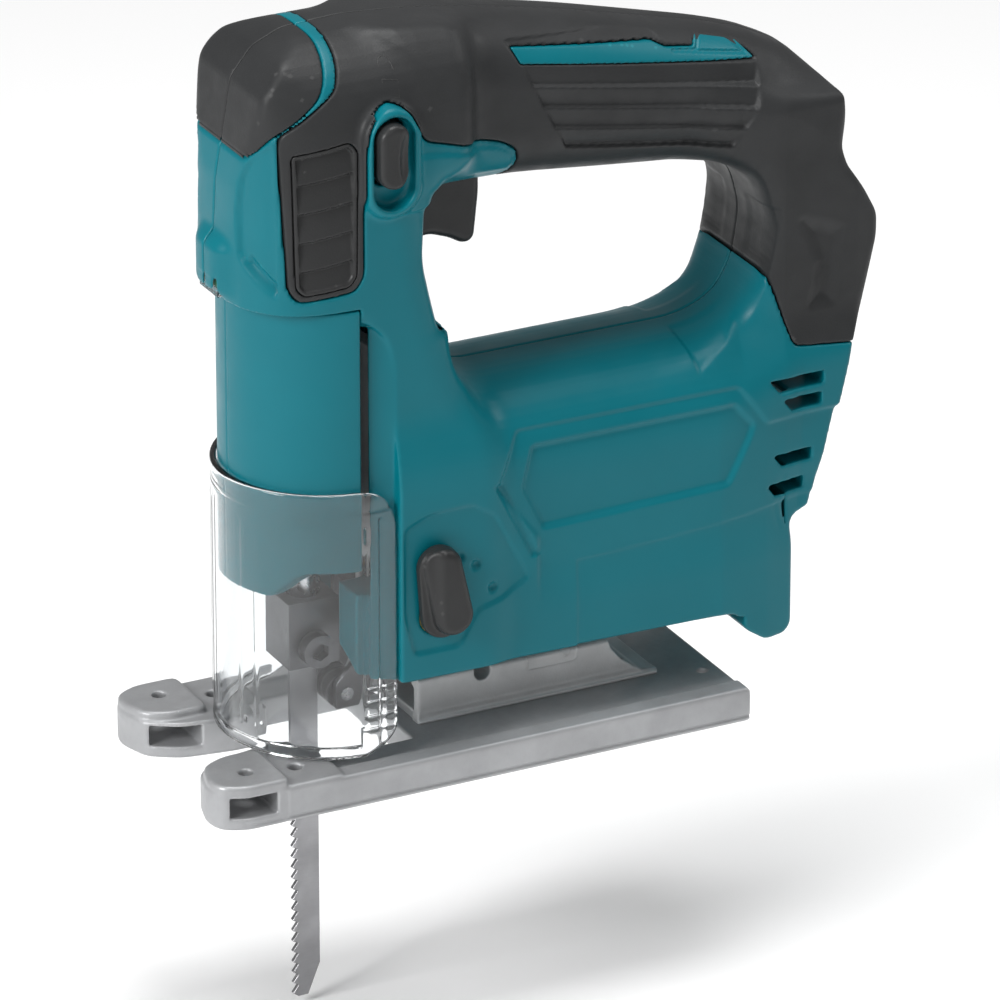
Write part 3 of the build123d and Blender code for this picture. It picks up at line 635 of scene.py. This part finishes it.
def rear_details(g, made):
    """The channel in the side of the rear post and the step inside the hand opening."""
    channel = [(-123.4, 121), (-133.5, 117), (-131, 99.5), (-126, 99.5), (-128, 110)]
    made = made + ramp(14 - g.y, 3) * 1.3 * ramp(flat(g, channel), 4.5)
    band = [(-95, 88), (-104, 93), (-110.5, 102), (-115.8, 112), (-117.6, 122), (-117, 140), (-90, 140)]
    below = ramp(g.z - 125, 1)
    return made + below * ramp(6 - g.y, 3) * 0.35 * ramp(flat(g, band), 0.7)


def outer_shape(g):
    """The outside of the housing with all its details."""
    made = hull(g)
    made = nose_details(g, made)
    made = side_details(g, made)
    made = rear_details(g, made)
    return lock_recess(g, made)


def cavities(g):
    """Everything that is open inside: motor, drive, switch and electrics bays."""
    drive = [(-33, 49), (-33, 93), (-27.3, 103), (-27.3, 112.3), (-20, 118), (-3, 118), (-3, 49)]
    made = box_field(g, (-118, -30), (-9, 22), (44, 84), 1.0)
    made = np.minimum(made, slab(flat(g, drive), g.y, 22.2, 0.5))
    made = np.minimum(made, box_field(g, (-19, 0), (-9, 11), (20, 60), 0.5))
    made = np.minimum(made, box_field(g, (-29, -16), (-9, 22.2), (36.5, 60), 0.5))
    head = [(-22, 115), (14, 117), (12, 168), (-22, 174)]
    made = np.minimum(made, slab(flat(g, head), g.y, 19, 1.0))
    switch = [(-24, 150), (-24, 170), (-80, 163), (-120, 153), (-120, 144), (-80, 147)]
    made = np.minimum(made, slab(flat(g, switch), g.y, 9.5, 0.5))
    rear = [(-116, 158), (-130, 150), (-130, 124), (-137, 118), (-132, 70), (-118, 70), (-121, 120)]
    made = np.minimum(made, slab(flat(g, rear), g.y, 12, 0.5))
    return np.minimum(made, box_field(g, (-140, -122), (-12, 11.3), (95.7, 112.3)))


def ways_through(g):
    """Slots and holes that reach the outside."""
    made = box_field(g, (-47.5, -22.5), (-9, 8.3), (124, 152), 0.6)
    x, z = LOCK
    lock_way = box_field(g, (x - 4.3, x + 4.3), (8, 50), (z - 8.3, z + 8.3), 3.6)
    made = np.minimum(made, lock_way)
    bay = [(-155, 125), (-136.5, 121), (-136.5, 104), (-130, 60), (-155, 60)]
    made = np.minimum(made, slab(flat(g, bay), g.y, 13, 0.3))
    lip = [(-143, 121), (-139, 118), (-139, 106), (-133, 66), (-137, 66)]
    made = np.minimum(made, slab(flat(g, lip), g.y, 15.5, 0.2))
    tunnel = round_bar(g, 0, (0, 0), (-105.5, 40), TUNNEL_R, 0.5)
    made = np.minimum(made, tunnel)
    for x, z, length in VENTS:
        front, rear = x + length / 2, x - length / 2
        low, high = z - VENT_HALF, z + VENT_HALF
        outline = [(rear, low), (rear, high), (front, high), (front - 2.6, low)]
        made = np.minimum(made, np.maximum(flat(g, outline), 11 - g.y))
    lamp = box_field(g, (19.5, 24), (-9, 5.3), (110, 128.6))
    return np.minimum(made, lamp)


def seat_rib(g):
    """The foot that rides on the base's half-round seat."""
    made = box_field(g, (-92, -30), (-9, 8.6), (20, 36), 0.4)
    hollow = np.sqrt(g.y ** 2 + g.z ** 2) - (ARCH + 0.05)
    bolt = np.sqrt((g.x - BOLT_X) ** 2 + g.y ** 2) - 3.0
    return np.maximum(np.maximum(made, -hollow), -np.maximum(bolt, g.z - 36))


def zones(g):
    """Where the soft layer and the nose pads lie, negative inside."""
    soft = flat(g, RUBBER_ZONE, 1.6)
    nose = flat(g, NOSE_ZONE, 2.2)
    return soft, nose


def seam(g):
    """The middle joint, with a fine groove."""
    return SEAM_GAP - g.y


def shell_field(g, outer, soft, nose):
    """The teal shell: lower under the soft layers, hollow inside, open for the front cover."""
    cover = np.minimum(soft, nose) - JOINT
    made = np.maximum(outer, -np.maximum(cover, -(outer + SKIN + 0.02)))
    made = np.maximum(made, -cavities(g))
    made = np.minimum(made, seat_rib(g))
    made = np.maximum(made, -ways_through(g))
    made = np.maximum(made, -np.maximum(g.z - SEAM_Z, GROOVE_X - g.x))
    return np.maximum(made, seam(g))


def screw_wells(g, entered):
    """Round wells for the screws: wide on the side they are entered from, blind on the other."""
    made = np.float32(1e3)
    for place, half in zip(SCREWS, SCREW_HALF):
        if entered:
            well = round_bar(g, 1, place, (half - 5, 45), 3.3)
        else:
            well = round_bar(g, 1, place, (-9, 8), 1.75)
        made = np.minimum(made, well)
    return made


def soft_field(g, outer, soft, nose):
    """The soft layer on the handle, head and rear, with the ribbed side panel."""
    panel = flat(g, HANDLE_PANEL, 0.6)
    stripe = flat(g, STRIPE, 0.3)
    rise = (g.z - 0.178 * (g.x + 50) - 151.7) / 5.15
    ribs = 0.1 + 1.05 * shingles(-rise, 0.12)
    side = ramp(8 - g.y, 3)
    top = np.clip(rise - 4.0, 0, 1)
    made = outer + side * ramp(panel, 0.7) * (ribs * (1 - top) + 0.35 * top)
    made = np.maximum(made, -np.maximum(stripe - JOINT, 9 - g.y))
    made = np.maximum(made, -np.maximum(flat(g, PAD_FRAME, 1) - JOINT, 12 - g.y))
    made = np.maximum(np.maximum(made, soft + JOINT), -(outer + SKIN))
    made = np.maximum(made, -(nose - 0.5))
    made = np.maximum(made, -ways_through(g))
    return np.maximum(made, seam(g))


def build_housing():
    """Both shells, the soft layers, the nose pads, the ribbed pads and the handle stripes."""
    g = Grid((-147, 26), (-1.3, 32), (13, 189), 0.62)
    outer = outer_shape(g)
    soft, nose = zones(g)
    shell = shell_field(g, outer, soft, nose)
    shaft = round_bar(g, 1, SELECTOR, (20, 40), 5.05)
    left = np.maximum(np.maximum(shell, -shaft), -screw_wells(g, False))
    piece("shell_left", g, left, TEAL, nodes=["housing_left"])
    right = np.maximum(shell, -screw_wells(g, True))
    piece("shell_right", g, right, TEAL, nodes=["housing_right"], turned=True)
    g = Grid((-147, 18), (-1.1, 30), (84, 189), 0.5)
    outer = outer_shape(g)
    soft, nose = zones(g)
    layer = soft_field(g, outer, soft, nose)
    piece("grip_layer_left", g, layer, RUBBER, nodes=["soft_grip_left"])
    layer = np.maximum(layer, -screw_wells(g, True))
    nodes = ["soft_grip_right"]
    piece("grip_layer_right", g, layer, RUBBER, nodes=nodes, turned=True)
    for turned, name in ((False, "left"), (True, "right")):
        build_nose_pad(name, turned)
        build_ribbed_pad(name, turned)
        build_stripe(name, turned)
    return g, outer


def build_nose_pad(name, turned):
    """The soft pad on one half of the nose."""
    g = Grid((-2, 24), (-0.8, 30), (154, 189), 0.4)
    outer = outer_shape(g)
    nose = zones(g)[1]
    made = np.maximum(np.maximum(outer, nose + JOINT), -(outer + SKIN))
    made = np.maximum(np.maximum(made, seam(g)), -cavities(g))
    node = "nose_pad_" + name
    piece(node + "_v", g, made, RUBBER, nodes=[node], turned=turned)


def build_ribbed_pad(name, turned):
    """The framed pad with slanted ribs, beside the nose."""
    g = Grid((-5, 14), (15, 30), (125, 168), 0.3)
    outer = outer_shape(g)
    rise = (g.z + 0.155 * g.x - 135.7) / 7.18
    lip = ramp(flat(g, PAD_FRAME, 1) + 1.0, 0.5)
    ribs = 0.2 + 1.0 * shingles(rise, 0.1)
    made = outer + 0.05 + lip * ribs
    made = np.maximum(np.maximum(made, flat(g, PAD_FRAME, 1) + 0.05), -(outer + SKIN - 0.05))
    nodes = ["side_pad_" + name]
    piece("ribbed_pad_" + name, g, made, HARD_BLACK, nodes=nodes, turned=turned)


def build_stripe(name, turned):
    """The coloured stripe along the top of the handle's panel, with an engraved line."""
    g = Grid((-116, -46), (7, 19), (158, 179), 0.35)
    outer = outer_shape(g)
    accent = flat(g, [(-91.6, 167.4), (-98.2, 166.3), (-101.2, 169.2), (-106.6, 168.4), (-111.6, 163)])
    made = outer + 0.12 + 0.35 * ramp(np.abs(accent) - 0.25, 0.4)
    made = np.maximum(np.maximum(made, flat(g, STRIPE, 0.3) + 0.05), -(outer + SKIN - 0.15))
    piece("handle_stripe_" + name, g, made, TEAL, turned=turned)


# ---------------------------------------------------------------- front cover and dust cover
def build_front_cover():
    """The one-piece half-round column, arched at its foot."""
    g = Grid((-5, 21), (-27, 27), (48, 124.5), 0.5)
    tube = np.sqrt(np.maximum(g.x - COLUMN_X, 0) ** 2 + g.y ** 2)
    made = np.abs(tube - (COLUMN_R - 1.3)) - 1.3
    arch = 50 + 7 * ramp(17 - np.abs(g.y), 8)
    made = made + 0.3 * ramp(np.abs(g.y) - 0.12, 0.5) * ramp(COLUMN_R - 0.8 - tube, 0.5)
    made = blend_max(made, np.maximum(g.z - SEAM_Z + 0.3, arch - g.z), 0.4)
    made = np.maximum(made, GROOVE_X + 0.3 - g.x)
    piece("column_cover", g, made, TEAL, nodes=["front_cover"])


def build_dust_cover():
    """Clear half-round cover: thick rims, upright ribs at the sides, a finger tab."""
    g = Grid((-13.5, 22.5), (-28.5, 28.5), (8.5, 80), 0.5)
    reach = np.sqrt(np.maximum(g.x - COLUMN_X, 0) ** 2 + g.y ** 2)
    side = np.abs(g.y)
    middle = np.full(g.shape, 26.0, np.float32)
    half = np.full(g.shape, 0.75, np.float32)
    rim = ramp(g.z - 12.2, 0.6) * ramp(-3 - g.x, 0.6)
    half = half + 0.45 * rim
    middle = middle - 0.35 * rim
    half = half + 0.25 * ramp(np.abs(g.z - 76.3) - 0.8, 0.5)
    half = half + 0.2 * ramp(np.abs(g.z - 72) - 0.25, 0.4)
    for x in (-3.6, -8.2):
        half = half + 0.45 * ramp(np.abs(g.x - x) - 0.4, 0.5) * ramp(g.z - 70, 1)
    for z in (16.1, 19.3, 22.9, 26.3):
        half = half + 0.35 * ramp(np.abs(g.z - z) - 0.35, 0.5) * ramp(g.x + 3.6, 1)
    upright = ramp(-8 - g.x, 1) * ramp(np.abs(g.z - 42) - 26, 1)
    for y in (7.5, 12.0):
        half = half + 0.3 * ramp(np.abs(side - y) - 0.3, 0.5) * upright
    tab = np.sqrt(np.maximum(np.abs(side - 21) - 1.2, 0) ** 2 + (g.z - 66) ** 2) - 3.6
    half = half + 0.4 * ramp(tab, 0.8) * ramp(-5 - g.x, 1)
    made = np.abs(reach - middle) - half
    outline = [
        (30, 9.6), (30, 77.6), (-3.5, 77.6), (-9, 75.5), (-12, 69), (-12, 15.4), (-9.6, 12.4), (-4, 9.6),
    ]
    made = blend_max(made, flat(g, outline, 2), 0.5)
    made = np.maximum(made, np.minimum(np.minimum(COVER_INSIDE - reach, g.x + 4.4), g.z - 17))
    made = np.maximum(made, reach - COVER_R)
    piece("clear_cover", g, made, CLEAR, body="dust_cover", nodes=["dust_cover"])


# ---------------------------------------------------------------- base
def build_base():
    """Base plate: deck, side rails, stepped toes with rule windows, screw holes and the key's pocket."""
    g = Grid((-105, 38.5), (-33, 33), (-1, 12.5), 0.55)
    side = np.abs(g.y)
    length = np.maximum(SOLE_REAR - g.x, g.x - 6)
    made = slab(np.maximum(length, side - SOLE_HALF), g.z - DECK / 2, DECK / 2, 0.5)
    length = np.maximum(SOLE_REAR - g.x, g.x - 19)
    rail = np.maximum(length, np.abs(side - RAIL_Y) - RAIL_HALF)
    made = blend_min(made, slab(rail, g.z - RAIL_TOP / 2, RAIL_TOP / 2, 0.9), 0.6)
    toe = polygon(rounded(TOE, 2.5), g.x, side)
    made = blend_min(made, slab(toe, g.z - PAD_TOP / 2, PAD_TOP / 2, 0.9), 0.6)
    top = polygon(rounded(TOE_BLOCK, 2.5), g.x, side)
    made = blend_min(made, slab(top, g.z - TOE_TOP / 2, TOE_TOP / 2, 1.0), 0.6)
    slot = slab(np.maximum(-20 - g.x, side - 8), g.z - 5, 15, 0.2)
    wide = slab(np.maximum(np.abs(g.x + 8.5) - 11.5, side - 18), g.z - 5, 15, 0.2)
    neck = slab(np.maximum(np.abs(g.x + 6) - 14, side - 14), g.z - 5, 15, 0.2)
    across = np.maximum(g.y - 9, -17.5 - g.y)
    under = slab(np.maximum(np.abs(g.x - BOLT_X) - 16, across), g.z - 5, 15, 0.2)
    made = blend_max(made, -np.minimum(np.minimum(slot, neck), np.minimum(wide, under)), 0.7)
    pocket = slab(np.maximum(np.abs(g.x + 61.5) - 37.5, np.abs(side - 23.75) - 4.75), g.z, 4.6, 0.4)
    made = blend_max(made, -pocket, 0.6)
    channel = np.maximum(g.x + 42, np.abs(g.y - KEY_Y) - 2.4)
    bend = np.maximum(g.x + 91.5, np.abs(g.y - 15.7) - 7.5)
    made = blend_max(made, -np.maximum(np.minimum(channel, bend), g.z - 4.9), 0.3)
    window = slab(np.maximum(np.abs(g.x - 27.7) - 5.7, np.abs(g.z - 5.6) - 2.6), side - 25, 20, 0.2)
    made = blend_max(made, -window, 0.6)
    for x, y, low, radius in ((26.5, 24, 6, 1.7), (13, 22.6, -3, 1.7)):
        hole = np.sqrt((g.x - x) ** 2 + (side - y) ** 2) - radius
        made = blend_max(made, -np.maximum(hole, low - g.z), 0.4)
    hole = np.sqrt((g.x + 99) ** 2 + (side - 16) ** 2) - 1.2
    made = np.maximum(made, -np.maximum(hole, 1 - g.z))
    for x in BRACKET_SCREWS_X:
        reach = np.sqrt((g.x - x) ** 2 + (side - BRACKET_SCREWS_Y) ** 2)
        made = np.maximum(made, -np.minimum(reach - 1.7, np.maximum(reach - 3.1, g.z - 2.4)))
    groove = np.maximum(np.abs(g.z - 1.3) - 0.3, 31.5 - side)
    made = np.maximum(made, -groove)
    piece("shoe_plate", g, made, PLATE, body="base", nodes=["base_plate"])


def seat_walls(g, side, reach, profile):
    """The upright walls under the round seat, thinner at their rear, with the clamp's arch on the right."""
    made = blend_max(np.maximum(reach - ARCH, profile), side - SEAT_HALF, 0.7)
    length = np.abs(g.x - BOLT_X) - CLAMP_HALF
    clamp = np.maximum(np.maximum(reach - ARCH, length), np.maximum(g.y, -19.5 - g.y))
    inner_wall = SEAT_INSIDE + 1.7 * ramp(g.x + 74, 6)
    made = np.maximum(made, -np.maximum(reach - ARCH_INSIDE, side - inner_wall))
    made = np.maximum(made, -np.maximum(g.x + 73, np.maximum(g.y + 5, g.z - 19)))
    return blend_min(made, np.maximum(clamp, ARCH_INSIDE - reach), 0.6)


def seat_foot(g, made, side, profile):
    """The floor between the walls and the thin foot along them, down to the deck."""
    floor = np.maximum(np.maximum(profile, side - SEAT_HALF), g.z - DECK - 2.5)
    floor = np.maximum(floor, -np.maximum(np.abs(g.x - BOLT_X) - 16, side - SEAT_INSIDE))
    made = blend_min(made, floor, 0.6)
    foot = np.maximum(np.maximum(profile, side - SEAT_HALF - 0.8), g.z - DECK - 0.8)
    foot = np.maximum(foot, SEAT_INSIDE - side)
    made = blend_min(made, foot, 0.8)
    return np.maximum(made, DECK + 0.02 - g.z)


def seat_relief(g):
    """A raised rounded outline and a small ring on the left wall."""
    outline = flat(g, [(-53.6, 15.8), (-66.8, 15.8), (-67.4, 20.8), (-53.6, 19.4)], 0.8)
    ring = np.sqrt((g.x + 64) ** 2 + (g.z - 18.4) ** 2) - 1.1
    relief = ramp(np.abs(outline) - 0.15, 0.3) + ramp(np.abs(ring) - 0.12, 0.3)
    return 0.3 * relief * ramp(8 - g.y, 1)


def build_bracket():
    """Half-round seat with upright walls, a clamp slot on the right, a side hole and a cast outline."""
    g = Grid((-90, -23.5), (-21, 14), (6.5, 23.2), 0.4)
    side = np.abs(g.y)
    reach = np.sqrt(g.y ** 2 + g.z ** 2)
    profile = flat(g, SEAT_SIDE)
    made = seat_walls(g, side, reach, profile)
    boss = round_bar(g, 1, (-41.7, 15.6), (2.5, 11), 4.2)
    made = np.minimum(made, np.maximum(boss, reach - ARCH + 0.5))
    made = seat_foot(g, made, side, profile)
    slot = np.maximum(np.abs(g.x - BOLT_X) - 3.4, np.abs(g.y + 7.6) - 11.2)
    made = np.maximum(made, -np.maximum(slot, 10 - g.z))
    under = np.maximum(np.abs(g.x - BOLT_X) - CLAMP_HALF, g.y + 8.4)
    made = np.maximum(made, -np.maximum(under, reach - ARCH_INSIDE))
    for x in BRACKET_SCREWS_X:
        hole = np.sqrt((g.x - x) ** 2 + (side - BRACKET_SCREWS_Y) ** 2) - 1.5
        made = np.maximum(made, -np.maximum(hole, g.z - 12))
    side_hole = np.sqrt((g.x + 41.7) ** 2 + (g.z - 17.6) ** 2) - 2.1
    made = blend_max(made, -np.maximum(side_hole, 4.2 - g.y), 0.4)
    made = made - seat_relief(g)
    piece("seat_bracket", g, made, CAST, body="base", nodes=["base_bracket"])


# ---------------------------------------------------------------- controls
def build_trigger():
    """The lever under the handle, hollow for the finger."""
    g = Grid((-46, -23.5), (-9, 9), (123.5, 148), 0.4)
    profile = [
        (-25.4, 129.6), (-25.4, 146), (-43.8, 146), (-43.8, 138.6), (-42.6, 127.6), (-41, 126.2),
        (-39, 126.4), (-36, 128.2), (-31, 130),
    ]
    made = slab(flat(g, profile, 1.4), g.y, 7.6, 2.4)
    piece("trigger_lever", g, made, HARD_BLACK, body="trigger", nodes=["trigger"])


def build_lock_button():
    """Oval caps on the lock bar, with a raised upper half and a finger hollow."""
    x, z = LOCK
    g = Grid((x - 5.5, x + 5.5), (-27.5, 31.5), (z - 9.5, z + 9.5), 0.4)
    oval = np.sqrt((g.x - x) ** 2 + np.maximum(np.abs(g.z - z) - 4, 0) ** 2) - 3.9
    left = slab(oval, g.y - 25.5, 4.4, 1.4)
    groove = (g.x - x + 3.6) ** 2 + (g.y - 31.3) ** 2 + 0.12 * (g.z - z + 1) ** 2
    left = blend_max(left, -(np.sqrt(groove) - 3.2), 0.8)
    right = slab(oval, g.y + 23.6, 2.6, 1.2)
    bar = box_field(g, (x - 3, x + 3), (-22, 22), (158, 164), 0.6)
    made = blend_min(np.minimum(left, right), bar, 0.4)
    piece("lock_button", g, made, HARD_BLACK, body="lock_bar", nodes=["lock_bar"])


def capsule(g, a, b, wide_a, wide_b):
    """A round-ended bar in X and Z that can taper."""
    (ax, az), (bx, bz) = a, b
    ex, ez = bx - ax, bz - az
    t = np.clip(((g.x - ax) * ex + (g.z - az) * ez) / (ex * ex + ez * ez), 0, 1)
    return np.sqrt((g.x - ax - ex * t) ** 2 + (g.z - az - ez * t) ** 2) - (wide_a + (wide_b - wide_a) * t)


def build_selector():
    """Thumb lever on a round foot, with a rounded crest."""
    g = Grid((-32, -15.5), (26.6, 35), (36.5, 63.5), 0.35)
    foot = slab(capsule(g, (-23.0, 43.6), (-21.6, 56.0), 5.8, 5.3), g.y - 28.6, 1.2, 0.6)
    crest = slab(capsule(g, (-24.4, 44.0), (-21.8, 57.0), 4.9, 4.6), g.y - 30.4, 3.0, 2.2)
    made = blend_min(foot, crest, 0.8)
    hollow = np.sqrt((g.x + 17.5) ** 2 + (g.y - 34.6) ** 2) - 3.4
    made = blend_max(made, -hollow, 1.2)
    piece("orbit_lever", g, made, HARD_BLACK, body="selector", nodes=["selector_knob"])


# ---------------------------------------------------------------- small marks and hardware
def flank_at(g, field, x, z):
    """How far out the left flank is at x and z."""
    ys = np.linspace(31, 8, 160)
    points = np.stack([np.full(160, x), ys, np.full(160, z)], 1)
    values = sample(g, field, points)
    return ys[np.argmax(values < 0)]


def arc_points(x, z, radius, start, end, count=14):
    angles = np.radians(np.linspace(start, end, count))
    return [(x + radius * math.cos(a), z + radius * math.sin(a)) for a in angles]


def build_lock_sign(g, field):
    """A generic padlock drawn with fine lines on the left flank, over the lock button."""
    body = [(-11.2, 173.6), (-15.0, 173.0), (-15.4, 176.6), (-11.6, 177.3), (-11.2, 173.6)]
    shackle = [(-11.9, 177.4)] + arc_points(-13.4, 179.8, 1.55, 10, 175) + [(-15.1, 178.6)]
    curve = bpy.data.curves.new("lock_sign_left", "CURVE")
    curve.dimensions = "3D"
    curve.bevel_depth = 0.14 * MM
    curve.bevel_resolution = 1
    for stroke in (body, shackle):
        spline = curve.splines.new("POLY")
        spline.points.add(len(stroke) - 1)
        for point, (x, z) in zip(spline.points, stroke):
            point.co = (x * MM, flank_at(g, field, x, z) * MM, z * MM, 1)
    made = bpy.data.objects.new("lock_sign_left", curve)
    bpy.context.scene.collection.objects.link(made)
    made.data.materials.append(HARD_BLACK)
    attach(made, "tool")


def dress(node, material, bevel):
    """Shows a CAD node with its material and slightly broken edges."""
    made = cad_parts[node]
    made.data.materials.clear()
    made.data.materials.append(material)
    weld = made.modifiers.new("weld", "WELD")
    weld.merge_threshold = 0.00001
    edge = made.modifiers.new("edge", "BEVEL")
    edge.width = bevel * MM
    edge.segments = 2
    edge.limit_method = "ANGLE"
    edge.angle_limit = math.radians(40)
    edge.harden_normals = False


DRESSING = [
    (BRIGHT, 0.15, "motor_can motor_bearings motor_shaft pinion crank_gear gear_axle fork_pivot_pin"),
    (BRIGHT, 0.2, "plunger crank_pin crank_roller roller_pin trigger_spring bevel_washer"),
    (DARK, 0.3, "motor_magnets motor_brushes balance_weight blade_holder holder_bolt roller_fork"),
    (DARK, 0.25, "guide_roller bracket_screws hex_key bevel_bolt housing_screws"),
    (HARD_BLACK, 0.2, "motor_end_bell cooling_fan switch_body terminal_block"),
    (BRASS, 0.1, "plunger_bushings selector_shaft battery_contacts"),
    (COPPER, 0.1, "armature_core commutator"),
    (CAST, 0.4, "gear_case"),
    (BLADE, 0.12, "blade"),
    (CLEAR, 0.2, "lamp_lens"),
    (BOARD, 0.1, "control_board lamp_board"),
]


def dress_hardware():
    """All the CAD nodes that stay visible."""
    for material, bevel, nodes in DRESSING:
        for node in nodes.split():
            dress(node, material, bevel)


# ---------------------------------------------------------------- studio
def build_camera():
    """A long lens at the tool's front left, a little above it."""
    camera = bpy.data.cameras.new("camera")
    camera.sensor_width = 36
    camera.lens = 324
    camera.clip_start = 0.1
    camera.clip_end = 20
    view = bpy.data.objects.new("camera", camera)
    right = (-0.8910, 0.4540, 0.0)
    up = (-0.1847, -0.3624, 0.9135)
    back = (0.4147, 0.8140, 0.4067)
    eye = (0.8359, 1.7436, 0.9267)
    rows = [[right[i], up[i], back[i], eye[i]] for i in range(3)] + [[0, 0, 0, 1]]
    view.matrix_world = Matrix(rows)
    bpy.context.scene.collection.objects.link(view)
    bpy.context.scene.camera = view


def build_floor():
    """A wide pale floor just under the blade's tip."""
    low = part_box("blade")[0].z - 0.002
    corners = [(-6, -6, low), (6, -6, low), (6, 6, low), (-6, 6, low)]
    mesh = bpy.data.meshes.new("floor")
    mesh.from_pydata(corners, [], [(0, 1, 2, 3)])
    floor = bpy.data.objects.new("floor", mesh)
    bpy.context.scene.collection.objects.link(floor)
    pale = bpy.data.materials.new("pale_floor")
    pale.use_nodes = True
    shader = pale.node_tree.nodes["Principled BSDF"]
    shader.inputs["Base Color"].default_value = (0.96, 0.96, 0.96, 1)
    shader.inputs["Roughness"].default_value = 0.8
    mesh.materials.append(pale)


def build_lights():
    """A white surround and four soft lamps; the key stands in front of the nose."""
    bpy.context.scene.view_settings.view_transform = "Standard"
    world = bpy.data.worlds.new("studio")
    world.use_nodes = True
    surround = world.node_tree.nodes["Background"]
    surround.inputs["Color"].default_value = (1, 1, 1, 1)
    surround.inputs["Strength"].default_value = 0.3
    bpy.context.scene.world = world
    soft_light("key", (1.3, 0.3, 0.8), 0.6, 19)
    soft_light("front", (0.1, 1.5, 0.75), 0.9, 2.2)
    soft_light("rear", (-1.2, 0.2, 1.0), 0.5, 3)
    soft_light("top", (-0.1, 0.0, 1.4), 0.7, 14)


def soft_light(name, place, size, power):
    """A square lamp turned to the middle of the tool."""
    lamp = bpy.data.lights.new(name, "AREA")
    lamp.shape = "SQUARE"
    lamp.size = size
    lamp.energy = power
    made = bpy.data.objects.new(name, lamp)
    made.location = place
    aim = Vector((-0.05, 0, 0.09)) - made.location
    made.rotation_mode = "QUATERNION"
    made.rotation_quaternion = aim.to_track_quat("-Z", "Y")
    bpy.context.scene.collection.objects.link(made)


# ---------------------------------------------------------------- everything, in order
build_camera()
build_floor()
build_lights()
housing_grid, housing_outer = build_housing()
build_lock_sign(housing_grid, housing_grid.full(housing_outer))
build_front_cover()
build_dust_cover()
build_base()
build_bracket()
build_trigger()
build_lock_button()
build_selector()
dress_hardware()
